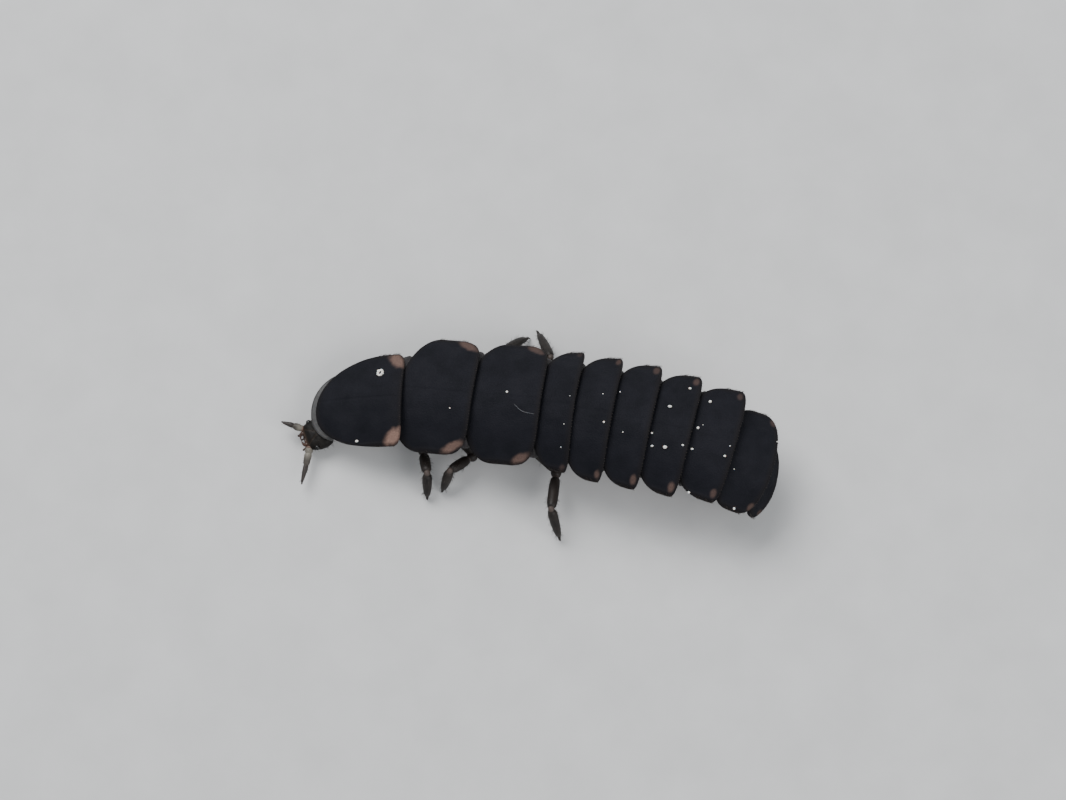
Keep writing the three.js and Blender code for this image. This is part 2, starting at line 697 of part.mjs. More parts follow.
// Holdfast: short fingers that spread under the tail and grip the ground
function holdfastGeometry() {
  const tail = SEGMENTS.length;
  const frame = bodyFrame(tail);
  const middle = centroid(SECTION.map(({ angle }) => fleshPoint(tail, angle)));
  const top = middle.clone().addScaledVector(frame.along, SEGMENT_GAP);
  const floor = new THREE.Vector3(top.x, top.y, 0);
  let solid = toSolid(loft(taperedTube([top, top.clone().lerp(floor, 0.5), floor], HOLDFAST_STEM_RADII, 12)));
  for (let finger = 0; finger < HOLDFAST_FINGERS; finger += 1) {
    const angle = (finger / HOLDFAST_FINGERS) * Math.PI * 2;
    const out = new THREE.Vector3(Math.cos(angle), Math.sin(angle), 0);
    const tip = floor.clone().addScaledVector(out, HOLDFAST_SPREAD).setZ(HOLDFAST_FINGER_RADIUS);
    const root = top.clone().lerp(floor, 0.4).addScaledVector(out, 0.15);
    const bend = root.clone().lerp(tip, 0.6).addScaledVector(out, 0.1);
    solid = solid.add(toSolid(loft(taperedTube([root, bend, tip], HOLDFAST_FINGER_RADII, 6))));
  }
  return fromSolid(solid);
}

addMesh("holdfast", holdfastGeometry(), COLOURS.holdfast, 0.5);

export default larva;
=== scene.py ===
# Looks of the firefly larva: skin, back plates, legs, head, tail holdfast, floor, light and camera.
# Shape functions work in millimetres, in the part's own frame. make_piece turns them into metres.
# A side is -1 for the animal's left and 1 for its right.
import random
from collections import namedtuple
from math import cos, pi, radians, sin, sqrt

import bmesh
import bpy
import numpy as np
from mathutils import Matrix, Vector
from mathutils.bvhtree import BVHTree


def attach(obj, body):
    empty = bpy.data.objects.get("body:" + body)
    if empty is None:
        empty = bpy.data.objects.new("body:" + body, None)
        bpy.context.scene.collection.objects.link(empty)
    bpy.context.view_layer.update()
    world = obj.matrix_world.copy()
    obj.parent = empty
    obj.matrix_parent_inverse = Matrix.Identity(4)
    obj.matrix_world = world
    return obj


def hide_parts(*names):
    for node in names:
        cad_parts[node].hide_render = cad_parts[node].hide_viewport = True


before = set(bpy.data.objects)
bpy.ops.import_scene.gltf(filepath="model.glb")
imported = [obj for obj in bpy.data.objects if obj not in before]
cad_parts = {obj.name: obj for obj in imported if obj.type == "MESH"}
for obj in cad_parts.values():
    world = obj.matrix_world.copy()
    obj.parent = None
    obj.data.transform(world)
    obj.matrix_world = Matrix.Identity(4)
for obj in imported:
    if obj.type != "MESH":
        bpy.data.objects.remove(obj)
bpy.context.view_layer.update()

MM = 0.001
ROOT = "root"

# The photograph's frame
PHOTO_WIDTH, PHOTO_HEIGHT = 1066, 800
PIXELS_PER_MM = 23.5
CAMERA_ELEVATION = 75
CAMERA_LENS = 100
SENSOR_WIDTH = 36
CAMERA_TARGET = (0.15, 0.95, 2.3)

# Body, one row for each segment from the head end to the tail, as in the solids
Segment = namedtuple("Segment", "plate flesh length width yaw pitch shift lean arch depth")
SEGMENTS = [Segment(*row) for row in (
    ("pronotum", "prothorax", 4.04, 4.05, 2.6, -12, -0.15, -0.37, 0.62, 1.9),
    ("mesonotum", "mesothorax", 3.02, 5.06, 9, -8, 0.33, -0.55, 1.0, 2.35),
    ("metanotum", "metathorax", 2.93, 5.3, 8.5, -6, 0.41, -0.3, 1.28, 2.45),
    ("tergite_1", "abdomen_1", 1.43, 5.32, 9, -8, 0.36, 0, 1.3, 2.5),
    ("tergite_2", "abdomen_2", 1.63, 5.5, 11, -5, 0.28, 0, 1.34, 2.55),
    ("tergite_3", "abdomen_3", 1.67, 5.5, 12.5, -3, 0.26, 0, 1.28, 2.5),
    ("tergite_4", "abdomen_4", 1.72, 5.36, 14, -1, 0.24, 0, 1.2, 2.42),
    ("tergite_5", "abdomen_5", 1.93, 5.02, 16, 4, 0.26, 0, 1.0, 2.2),
    ("tergite_6", "abdomen_6", 1.9, 4.46, 16, 22, -0.05, 0, 0.9, 1.56),
    ("tergite_7", "abdomen_7", 1.36, 3.8, 11, 77, -0.25, 0, 0.6, 1.12),
    ("tergite_8", "abdomen_8", 1.02, 3.0, 12, 92, -0.25, 0, 0.5, 1.25),
    ("tergite_9", "abdomen_9", 0.78, 2.1, 14, 100, -0.25, 0, 0.35, 1.2),
)]
TAIL = len(SEGMENTS)
THORAX = 3
TAIL_PLATES = 4
PRONOTUM_REAR = np.array((-6.06, 0.98, 3.22))
MODEL_CENTRE = np.array((-0.66, -0.07, 0.0))

PLATE_THICKNESS = 0.3
PLATE_STEP = 0.36
PLATE_TUCK = 0.34
TUCK_SHARE = 0.2
TUCK_LOST_PER_DEGREE = 0.0125
ARCH_POWER = 2.2
PRONOTUM_DROOP = 0.6
# How far back a plate is widest, the powers of its front and rear outlines, its taper and droop
Shape = namedtuple("Shape", "widest front rear taper droop tuck", defaults=(0.0,))
PRONOTUM = Shape(0.83, 2.13, 4.0, 0.02, PRONOTUM_DROOP)
THORAX_PLATE = Shape(0.45, 2.4, 4.7, 0.0, 0.0)
ABDOMEN_PLATE = Shape(0.78, 3.1, 4.5, 0.06, 0.0)
TAIL_PLATE = Shape(0.54, 3.3, 3.8, 0.04, 0.0)

FLESH_GAP = 0.12
FLESH_WIDTH = 0.8
FLESH_POWER = 0.8
RAISED_PLATE = 0.07
PROTHORAX_START = 0.36
NECK_TAPER = 0.8
NECK_TAPER_POWER = 1.3

rng = random.Random(11)


# Small maths helpers

def smoothstep(low, high, value):
    share = np.clip((value - low) / (high - low), 0, 1)
    return share * share * (3 - 2 * share)


def hump(value, centre, width):
    """1 at the centre, falling off smoothly on both sides over about the width."""
    return np.exp(-((value - centre) / width) ** 2)


def signed_power(value, power):
    return np.sign(value) * np.abs(value) ** power


def full_turn(count):
    """Angles evenly spaced round a circle, in radians."""
    return np.linspace(0, 2 * pi, count, endpoint=False)


HASH_FACTORS = np.array((73856093, 19349663, 83492791))
SEED_FACTOR, MIX_FACTOR = 7919, 1274126177
HASH_MASK = 0xFFFF
NOISE_OFFSET = 57.3


def lattice_noise(points, size, seed):
    """Smooth random values from -1 to 1 at points (..., 3), with lumps of about the given size."""
    scaled = np.asarray(points) / size + NOISE_OFFSET * (seed + 1)
    cell = np.floor(scaled).astype(np.int64)
    part = scaled - cell
    part = part * part * (3 - 2 * part)
    total = 0
    for corner in np.ndindex(2, 2, 2):
        mixed = np.bitwise_xor.reduce((cell + corner) * HASH_FACTORS, axis=-1)
        mixed = mixed ^ (seed * SEED_FACTOR)
        mixed = (mixed ^ (mixed >> 13)) * MIX_FACTOR
        value = ((mixed ^ (mixed >> 16)) & HASH_MASK) / (HASH_MASK / 2) - 1
        total = total + value * np.prod(np.where(np.array(corner) == 1, part, 1 - part), axis=-1)
    return total


def heading(yaw, pitch):
    y, p = radians(yaw), radians(pitch)
    return np.array((cos(p) * cos(y), -cos(p) * sin(y), -sin(p)))


def unit(vector):
    return vector / np.linalg.norm(vector)


CURVE_SAMPLES = 40


def curve_points(points, count):
    """A smooth curve through a few points, as count places evenly spaced along it."""
    points = np.array(points, dtype=float)
    padded = np.vstack((2 * points[0] - points[1], points, 2 * points[-1] - points[-2]))
    fine = []
    for step in np.linspace(0, len(points) - 1, CURVE_SAMPLES * len(points)):
        low = min(int(step), len(points) - 2)
        t = step - low
        a, b, c, d = padded[low:low + 4]
        fine.append(0.5 * (2 * b + (c - a) * t + (2 * a - 5 * b + 4 * c - d) * t ** 2
                           + (3 * b - a - 3 * c + d) * t ** 3))
    fine = np.array(fine)
    reach = np.concatenate(([0], np.cumsum(np.linalg.norm(np.diff(fine, axis=0), axis=1))))
    even = np.linspace(0, reach[-1], count)
    return np.stack([np.interp(even, reach, fine[:, axis]) for axis in range(3)], axis=1)


# Mesh helpers

def add_object(name, data):
    thing = bpy.data.objects.new(name, data)
    bpy.context.scene.collection.objects.link(thing)
    return thing


def ring_faces(rows, sides, start, closed):
    row, side = np.meshgrid(np.arange(rows - 1), np.arange(sides), indexing="ij")
    near = start + row * sides + side
    beside = start + row * sides + (side + 1) % sides
    quads = np.stack((near, beside, beside + sides, near + sides), axis=-1).reshape(-1, 4).tolist()
    if closed:
        quads.append(list(range(start + sides - 1, start - 1, -1)))
        last = start + (rows - 1) * sides
        quads.append(list(range(last, last + sides)))
    return quads


def make_piece(name, lofts, material, slot, *nodes, closed=True):
    """One piece from lofts, each (rings, {attribute: values}). It may replace nodes of the solids."""
    verts, faces, values = [], [], {}
    start = 0
    for rings, attributes in lofts:
        rows, sides = rings.shape[:2]
        verts.append(rings.reshape(-1, 3))
        faces.extend(ring_faces(rows, sides, start, closed))
        for key, field in attributes.items():
            values.setdefault(key, []).append(np.asarray(field, dtype=float).reshape(-1))
        start += rows * sides
    verts = (np.concatenate(verts) - MODEL_CENTRE) * MM
    mesh = bpy.data.meshes.new(name)
    mesh.from_pydata(verts.tolist(), [], faces)
    for key, fields in values.items():
        layer = mesh.attributes.new(key, "FLOAT", "POINT")
        layer.data.foreach_set("value", np.concatenate(fields).astype(np.float32))
    mesh.materials.append(material)
    mesh.polygons.foreach_set("use_smooth", [True] * len(mesh.polygons))
    face_out(mesh)
    piece = add_object(name, mesh)
    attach(piece, ROOT)
    if nodes:
        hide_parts(*nodes)
    return piece


def face_out(mesh):
    work = bmesh.new()
    work.from_mesh(mesh)
    bmesh.ops.recalc_face_normals(work, faces=work.faces)
    work.to_mesh(mesh)
    work.free()


TUBE_CENTRES = 60
UPRIGHT = 0.9
BLUNT_END = 0.04


def tube(points, radii, sides, rows, flatten=1.0):
    """Rings of a tapered tube through a few points, with rounded ends."""
    centres = curve_points(points, TUBE_CENTRES)
    along = np.linspace(0, 1, TUBE_CENTRES)
    length = np.linalg.norm(np.diff(centres, axis=0), axis=1).sum()
    radius_at = np.interp(along, np.linspace(0, 1, len(radii)), radii)
    tangents = np.gradient(centres, axis=0)
    up = np.array((0.0, 0.0, 1.0))
    if abs(unit(tangents[0])[2]) > UPRIGHT:
        up = np.array((1.0, 0.0, 0.0))
    across = unit(np.cross(up, tangents[0]))
    frames = []
    for tangent in tangents:
        across = unit(across - tangent * np.dot(across, tangent) / np.dot(tangent, tangent))
        frames.append((across, unit(np.cross(tangent, across))))
    rings = []
    for place in 0.5 - 0.5 * np.cos(np.linspace(0, pi, rows)):
        centre = np.array([np.interp(place, along, centres[:, axis]) for axis in range(3)])
        radius = np.interp(place, along, radius_at)
        for near in (place * length, (1 - place) * length):
            if near < radius:
                radius *= max(BLUNT_END, sqrt(max(0.0, 1 - (1 - near / radius) ** 2)))
        side, over = frames[int(round(place * (TUBE_CENTRES - 1)))]
        rings.append([centre + radius * (cos(a) * side + flatten * sin(a) * over)
                      for a in full_turn(sides)])
    return np.array(rings)


# The line of the back, and frames along it

def back_line():
    points = [np.zeros(3)]
    for segment in SEGMENTS:
        points.append(points[-1] + heading(segment.yaw, segment.pitch) * segment.length)
    return np.array(points) + PRONOTUM_REAR - points[1]


BACK = back_line()


def along_body(place, key):
    """A value that holds at each segment's middle, blended between them along the body."""
    middles = np.arange(TAIL) + 0.5
    return np.interp(place, middles, [getattr(segment, key) for segment in SEGMENTS])


def frame_at(origin, yaw, pitch, shift):
    """Origin, and the directions along the body to the rear, across to its right, and up."""
    along = heading(yaw, pitch)
    across = np.array((sin(radians(yaw)), cos(radians(yaw)), 0.0))
    return origin + across * shift, along, across, np.cross(along, across)


def body_frame(place):
    low = min(int(place), TAIL - 1)
    origin = BACK[low] + (BACK[low + 1] - BACK[low]) * (place - low)
    return frame_at(origin, *(along_body(place, key) for key in ("yaw", "pitch", "shift")))


def plate_frame(index):
    segment = SEGMENTS[index]
    return frame_at(BACK[index], segment.yaw, segment.pitch, segment.shift)


def in_frame(axes, x, y, z):
    origin, along, across, up = axes
    return origin + np.multiply.outer(x, along) + np.multiply.outer(y, across) + np.multiply.outer(z, up)


# Materials: every one is procedural, on the object's own coordinates

def new_material(name):
    material = bpy.data.materials.new(name)
    material.use_nodes = True
    return material, material.node_tree, material.node_tree.nodes["Principled BSDF"]


def set_inputs(tree, node, values):
    """Links a socket, or sets a plain value, for each input that is named."""
    for name, value in values.items():
        if isinstance(value, bpy.types.NodeSocket):
            tree.links.new(value, node.inputs[name])
        else:
            node.inputs[name].default_value = value


def texture(tree, kind, lump_mm):
    """A texture whose lumps are about lump_mm wide."""
    coords = tree.nodes.new("ShaderNodeTexCoord")
    node = tree.nodes.new(kind)
    set_inputs(tree, node, {"Vector": coords.outputs["Object"], "Scale": 1 / (lump_mm * MM)})
    return node


def noise(tree, lump_mm, detail, roughness=0.6):
    node = texture(tree, "ShaderNodeTexNoise", lump_mm)
    set_inputs(tree, node, {"Detail": detail, "Roughness": roughness})
    return node.outputs["Fac"]


LOW_STOP, HIGH_STOP = 0.3, 0.7


def blend(tree, share, low, high, high_stop=HIGH_STOP):
    """A colour that runs from low to high with a noise."""
    ramp = tree.nodes.new("ShaderNodeValToRGB")
    for element, stop, colour in zip(ramp.color_ramp.elements, (LOW_STOP, high_stop), (low, high)):
        element.position = stop
        element.color = (*colour, 1)
    set_inputs(tree, ramp, {"Fac": share})
    return ramp.outputs["Color"]


def grey(value):
    return (value,) * 3


def mix_colour(tree, mask, first, second):
    """Lays the second colour over the first where the mesh's attribute named by mask is 1."""
    attribute = tree.nodes.new("ShaderNodeAttribute")
    attribute.attribute_name = mask
    mix = tree.nodes.new("ShaderNodeMix")
    mix.data_type = "RGBA"
    if isinstance(second, tuple):
        second = (*second, 1)
    set_inputs(tree, mix, {"Factor": attribute.outputs["Fac"], "A": first, "B": second})
    return mix.outputs["Result"]


def calculate(tree, operation, first, second):
    node = tree.nodes.new("ShaderNodeMath")
    node.operation = operation
    set_inputs(tree, node, {0: first, 1: second})
    return node.outputs[0]


def bump(tree, height, depth_mm):
    node = tree.nodes.new("ShaderNodeBump")
    set_inputs(tree, node, {"Strength": 1.0, "Distance": depth_mm * MM, "Height": height})
    return node.outputs["Normal"]


def plate_material():
    """Velvety blue-black cuticle, with pinkish tan spots and slightly browner edges."""
    material, tree, shader = new_material("back_plate")
    grain = noise(tree, 0.05, 3, 0.7)
    pits = texture(tree, "ShaderNodeTexVoronoi", 0.06).outputs["Distance"]
    black = blend(tree, noise(tree, 0.9, 5), (0.0029, 0.0032, 0.0054), (0.0066, 0.0067, 0.0098))
    browned = mix_colour(tree, "edge", black, (0.0060, 0.0052, 0.0062))
    tan = blend(tree, grain, (0.14, 0.085, 0.068), (0.25, 0.157, 0.124), high_stop=0.72)
    height = calculate(tree, "ADD", calculate(tree, "MULTIPLY", grain, 0.6),
                       calculate(tree, "MULTIPLY", pits, 0.8))
    set_inputs(tree, shader, {
        "Base Color": mix_colour(tree, "spot", browned, tan),
        "Roughness": blend(tree, grain, grey(0.66), grey(0.84)),
        "Specular IOR Level": 0.12,
        "Normal": bump(tree, height, 0.012),
    })
    return material


def skin_material():
    """Pinkish membrane, darkened above by painted shade as if lying under the plates, with dark belly and
    side plates and two pale lights at the tail.
    """
    material, tree, shader = new_material("belly")
    grain = noise(tree, 0.06, 4, 0.7)
    membrane = blend(tree, noise(tree, 0.5, 5), (0.26, 0.145, 0.115), (0.40, 0.25, 0.195))
    horn = blend(tree, grain, (0.020, 0.014, 0.013), (0.045, 0.031, 0.027))
    # Painted shade: the membrane's upper part is darkened to near black, as if lying in the shade of the
    # back plates.
    membrane_under_painted_shade = mix_colour(tree, "upper", membrane, (0.012, 0.009, 0.010))
    dressed = mix_colour(tree, "horn", membrane_under_painted_shade, horn)
    set_inputs(tree, shader, {
        "Base Color": mix_colour(tree, "glow", dressed, (0.72, 0.68, 0.50)),
        "Roughness": blend(tree, grain, grey(0.45), grey(0.65)),
        "Specular IOR Level": 0.35,
        "Subsurface Weight": 0.15,
        "Subsurface Radius": (0.4 * MM, 0.2 * MM, 0.12 * MM),
        "Normal": bump(tree, grain, 0.012),
    })
    return material


def horn_material(name, dark, light, roughness, specular, pale=None, depth_mm=0.006):
    """Hard cuticle: legs, head, jaws, claws. pale is the colour where the mesh's pale attribute is 1."""
    material, tree, shader = new_material(name)
    grain = noise(tree, 0.036, 3)
    colour = blend(tree, noise(tree, 0.36, 4), dark, light)
    if pale:
        colour = mix_colour(tree, "pale", colour, pale)
    set_inputs(tree, shader, {
        "Base Color": colour,
        "Roughness": blend(tree, grain, grey(roughness - 0.08), grey(roughness + 0.1)),
        "Specular IOR Level": specular,
        "Normal": bump(tree, grain, depth_mm),
    })
    return material


def soft_material(name, dark, light, transmission, roughness=0.45):
    """Matter that light passes into: rim, holdfast, dust and fibre."""
    material, tree, shader = new_material(name)
    patches = noise(tree, 0.15, 4)
    set_inputs(tree, shader, {
        "Base Color": blend(tree, patches, dark, light),
        "Roughness": roughness,
        "Transmission Weight": transmission,
        "Subsurface Weight": 0.3,
        "Subsurface Radius": (0.3 * MM, 0.2 * MM, 0.15 * MM),
        "Normal": bump(tree, patches, 0.01),
    })
    return material


PLATE = plate_material()
SKIN = skin_material()
LEG = horn_material(
    "leg", (0.008, 0.0065, 0.006), (0.018, 0.014, 0.012), 0.48, 0.2, pale=(0.062, 0.047, 0.041))
# The head's dark brown is partly its own colour and partly painted shade, made darker as if lying in the
# shadow under the pronotum.
HEAD_DARK_WITH_PAINTED_SHADE = horn_material(
    "head", (0.0038, 0.0034, 0.003), (0.0085, 0.007, 0.006), 0.5, 0.12, pale=(0.05, 0.03, 0.02))
FEELER = horn_material(
    "antenna", (0.014, 0.011, 0.010), (0.030, 0.024, 0.021), 0.45, 0.25, pale=(0.20, 0.185, 0.155))
JAW = horn_material(
    "mouthparts", (0.020, 0.009, 0.006), (0.050, 0.022, 0.013), 0.35, 0.35, pale=(0.13, 0.075, 0.055))
SOCKET = horn_material("socket", (0.06, 0.036, 0.028), (0.12, 0.072, 0.054), 0.45, 0.3)
EYE = horn_material("eye", (0.002, 0.002, 0.002), (0.004, 0.004, 0.004), 0.25, 0.35, depth_mm=0.0005)
RIM = soft_material("rim", (0.020, 0.019, 0.019), (0.040, 0.039, 0.039), 0.15)
HOLDFAST = soft_material("holdfast", (0.52, 0.40, 0.29), (0.70, 0.58, 0.45), 0.1, 0.35)
BRISTLE = horn_material("bristle", (0.012, 0.009, 0.008), (0.030, 0.022, 0.018), 0.4, 0.4)
DUST = soft_material("dust", (0.55, 0.54, 0.50), (0.85, 0.84, 0.80), 0.0, 0.6)
FIBRE = soft_material("fibre", (0.045, 0.045, 0.050), (0.075, 0.075, 0.080), 0.0, 0.6)


# Back plates

PLATE_GRID = (150, 46)
CROWDED_ACROSS, CROWDED_ALONG = 0.75, 0.6
SIDE_LIMIT = 0.995
EDGE_ROUNDING = 0.075
THICKENING = (0.05, 0.55)
REAR_THINNING, SIDE_THINNING = 1.1, 1.4
BROWN_EDGE = (0.02, 0.3)
BROWN_REAR, BROWN_REAR_SHARE = (0.25, 0.7), 0.25

# The pale patch in each plate's rear corners: its distance from the rear edge and from the side,
# half its length and half its width, its slant in degrees, and its strength
SPOTS = (
    (0.38, 0.36, 0.5, 0.27, 38, 0.82),
    (0.66, 0.3, 0.54, 0.18, 26, 0.5),
    (0.68, 0.26, 0.42, 0.17, 26, 0.38),
    (0.3, 0.17, 0.13, 0.13, 0, 0.12),
    (0.28, 0.26, 0.13, 0.17, 0, 0.3),
    (0.32, 0.32, 0.14, 0.2, 0, 0.3),
    (0.32, 0.34, 0.14, 0.2, 0, 0.34),
    (0.33, 0.34, 0.13, 0.18, 0, 0.25),
    (0.27, 0.34, 0.13, 0.18, 0, 0.24),
    (0.2, 0.26, 0.12, 0.16, 0, 0.2),
    (0.18, 0.24, 0.1, 0.14, 0, 0.3),
    (0.16, 0.2, 0.08, 0.12, 0, 0.3),
)
SPOT_BORDER = (0.45, 1.3)
RIGHT_SPOT_SHARE = 0.65

# Relief of the upper face: beads by height, distance from the edge and width; dents by place and width
GROOVE_DEPTH, GROOVE_WIDTH, GROOVE_START = 0.02, 0.045, (0.1, 0.4)
SIDE_BEAD = (0.028, 0.13, 0.06)
REAR_BEAD = (0.01, 0.1, 0.06)
DENT_DEPTH, DENT_LENGTH = 0.035, 0.28
DENTS = ((0.36, 0.32), (0.72, 0.4))
PLATE_NOISE = ((0.016, 0.9, 0), (0.008, 0.3, 20), (0.0045, 0.07, 40))
PLATE_NOISE_STEP = 3.0


def plate_shape(index):
    if index == 0:
        return PRONOTUM
    kind = TAIL_PLATE if index >= TAIL - TAIL_PLATES else ABDOMEN_PLATE
    if index < THORAX:
        kind = THORAX_PLATE
    bend = SEGMENTS[index].pitch - SEGMENTS[index - 1].pitch
    tuck = min(PLATE_TUCK, TUCK_SHARE * SEGMENTS[index].length)
    return kind._replace(tuck=tuck - TUCK_LOST_PER_DEGREE * bend)


def plate_plan(segment, shape, along, across):
    """A place on the plate's plan: along runs from front to rear edge, across from -1 to 1."""
    length = segment.length + shape.tuck
    front, rear = length * shape.widest, length * (1 - shape.widest)
    side = np.minimum(np.abs(across), SIDE_LIMIT)
    front_x = -front * (1 - side ** shape.front) ** (1 / shape.front)
    rear_x = rear * (1 - side ** shape.rear) ** (1 / shape.rear)
    x = front_x + (rear_x - front_x) * along
    ahead = np.maximum(0, -x / front)
    half = segment.width / 2 * (1 - shape.taper * ahead)
    return x + front - shape.tuck, across * half + segment.lean * ahead ** 2


def plate_top(segment, shape, x, y):
    length = segment.length + shape.tuck
    share = (x + shape.tuck) / length
    arch = segment.arch * np.abs(y / (segment.width / 2)) ** ARCH_POWER
    return -PLATE_STEP * (1 - share) - arch - shape.droop * np.maximum(0, 1 - share) ** 2


def even_and_dense(count, dense):
    """count values from 0 to 1, closer together near both ends."""
    even = np.linspace(0, 1, count)
    return (1 - dense) * even + dense * (0.5 - 0.5 * np.cos(pi * even))


def edge_distances(segment, shape, x, across):
    """About how far a place lies from the nearest edge, the rear edge and the side, in millimetres."""
    front_x, _ = plate_plan(segment, shape, 0, across)
    rear_x, _ = plate_plan(segment, shape, 1, across)
    side = (1 - np.abs(across)) * segment.width / 2
    rear = rear_x - x
    return np.minimum(np.minimum(x - front_x, rear), side), rear, side


def spot_mask(index, x, y, flat):
    """The pale patch in each rear corner: a slanted ellipse with a wavy soft border."""
    from_rear, from_side, half_length, half_width, slant, strength = SPOTS[index]
    back = x - (SEGMENTS[index].length - from_rear)
    inward = SEGMENTS[index].width / 2 - from_side - np.abs(y)
    turn = radians(slant)
    along = (back * cos(turn) + inward * sin(turn)) / half_length
    aside = (inward * cos(turn) - back * sin(turn)) / half_width
    waves = 0.16 * lattice_noise(flat, 0.16, 3) + 0.08 * lattice_noise(flat, 0.06, 4)
    fainter = np.where(y > 0, RIGHT_SPOT_SHARE, 1)
    return strength * fainter * (1 - smoothstep(*SPOT_BORDER, np.hypot(along, aside) + waves))


def plate_relief(index, x, y, rear, side, flat):
    """Low forms of the plate's upper face: midline groove, beads, shallow dents and grain."""
    length, half = SEGMENTS[index].length, SEGMENTS[index].width / 2
    relief = -GROOVE_DEPTH * hump(y, 0, GROOVE_WIDTH) * smoothstep(*GROOVE_START, rear)
    for (height, place, width), distance in ((SIDE_BEAD, side), (REAR_BEAD, rear)):
        relief += height * hump(distance, place, width)
    for place, width in DENTS:
        lengthwise = hump(x, length / 2, DENT_LENGTH * length)
        relief -= DENT_DEPTH * lengthwise * hump(np.abs(y), place * half, width)
    for height, size, seed in PLATE_NOISE:
        relief += height * lattice_noise(flat, size, index + seed)
    return relief


def plate_rings(index, columns, rows):
    """Loops round a plate, one for each column across it, over its upper face and back below it."""
    segment, shape = SEGMENTS[index], plate_shape(index)
    across = 2 * even_and_dense(columns, CROWDED_ACROSS) - 1
    along = even_and_dense(rows, CROWDED_ALONG)
    loop_along = np.concatenate((along, along[-2:0:-1]))
    is_under = np.arange(len(loop_along)) >= rows
    grid_across, grid_along = np.meshgrid(across, loop_along, indexing="ij")
    x, y = plate_plan(segment, shape, grid_along, grid_across)
    distance, rear, side = edge_distances(segment, shape, x, grid_across)
    fullness = np.clip(distance / EDGE_ROUNDING, 0, 1)
    rolled = EDGE_ROUNDING * (1 - np.sqrt(np.clip(1 - (1 - fullness) ** 2, 0, 1)))
    inner = smoothstep(*THICKENING, np.minimum(rear * REAR_THINNING, side * SIDE_THINNING))
    thickness = 2 * EDGE_ROUNDING - 2 * rolled + (PLATE_THICKNESS - 2 * EDGE_ROUNDING) * inner
    flat = np.stack((x, y, np.full(x.shape, PLATE_NOISE_STEP * index)), axis=-1)
    relief = plate_relief(index, x, y, rear, side, flat)
    top = plate_top(segment, shape, x, y) - rolled
    points = in_frame(plate_frame(index), x, y, top + np.where(is_under, -thickness, relief * fullness))
    edge = 1 - smoothstep(*BROWN_EDGE, distance)
    if index == 0:
        edge = np.maximum(edge, BROWN_REAR_SHARE * (1 - smoothstep(*BROWN_REAR, rear)))
    return points, {"spot": spot_mask(index, x, y, flat) * ~is_under, "edge": edge}


def make_plates():
    plates = []
    for index, segment in enumerate(SEGMENTS):
        loft = plate_rings(index, *PLATE_GRID)
        plates.append(make_piece(f"{segment.plate}_plate", [loft], PLATE, "back_plate", segment.plate))
    return plates


RIM_WIDTH = 0.26
RIM_HALF_TURN = 0.23 * pi
RIM_SPREAD = 1.6
RIM_NARROWING = 0.75
RIM_ROOT = 0.24
RIM_BELOW_TOP = 0.22
RIM_HALF_THICKNESS, RIM_ROOT_HALF_THICKNESS = 0.045, 0.085
RIM_SLOPE = 0.04


def make_rim():
    """Thin see-through crescent that stands out below the front edge of the pronotum."""
    segment, shape, axes = SEGMENTS[0], plate_shape(0), plate_frame(0)
    centre_x = segment.length * shape.widest
    power = 2 / shape.front
    rings = []
    for share in np.linspace(-1, 1, 90):
        angle = pi + share * RIM_HALF_TURN
        x = centre_x - abs(cos(angle)) ** power * centre_x
        y = signed_power(sin(angle), power) * segment.width / 2
        y += segment.lean * (1 - x / centre_x) ** 2
        outward = unit(np.array((x - centre_x, y * RIM_SPREAD)))
        width = RIM_WIDTH * (1 - RIM_NARROWING * abs(share) ** 3)
        top = plate_top(segment, shape, x, y) - RIM_BELOW_TOP
        loop = []
        for turn in full_turn(14):
            out = -RIM_ROOT + (width + RIM_ROOT) * (0.5 + 0.5 * cos(turn))
            half = RIM_ROOT_HALF_THICKNESS if out < 0 else RIM_HALF_THICKNESS
            drop = half * sin(turn) + RIM_SLOPE * (width - out)
            loop.append(in_frame(axes, x + outward[0] * out, y + outward[1] * out, top - drop))
        rings.append(loop)
    make_piece("pronotum_edge", [(np.array(rings), {})], RIM, "rim", "pronotum_rim")


# Soft skin, from the neck to the tail. Angles round the body are in degrees: 0 right, 90 back, 270 belly.

BELLY_ANGLE, FLANK_ANGLE, RIDGE_ANGLE = 270, 209.5, 231
DEGREE_MM = 0.032
BELLY_LENGTH, FLANK_LENGTH = 0.36, 0.32
THORAX_BELLY_HALF, ABDOMEN_BELLY_HALF, FLANK_HALF = 17, 29, 12.5
BELLY_CORNER, FLANK_CORNER = 0.2, 0.14
HORN_BORDER = 0.03
FOLD_DEPTH, FOLD_WIDTH = 0.1, 0.07
RIDGE_HEIGHT, RIDGE_WIDTH = 0.05, 4
SOFT_ROUGHNESS, HORN_ROUGHNESS = 0.02, 0.006
LIGHT_SEGMENT = TAIL - 2
LIGHT_ANGLE = 20
LIGHT_HALF_LENGTH, LIGHT_HALF_WIDTH = 0.26, 0.3
# Where two plates overlap the skin rises between them, so no light shows through.
BRIDGE_HEIGHT = 0.28
BRIDGE_REAR, BRIDGE_FRONT = (0.35, 0.6), (0.06, 0.22)

SKIN_SIDES, SKIN_ROWS, NECK_ROWS = 168, 440, 40
SKIN_END = TAIL - 0.02
SWELL_REACH = 0.15
NECK_ROOT = (0.9, 0.46, 0.42, 0.44)
TAIL_CAP = ((0.9, 0.05), (0.7, 0.09), (0.4, 0.1), (0.1, 0.08))


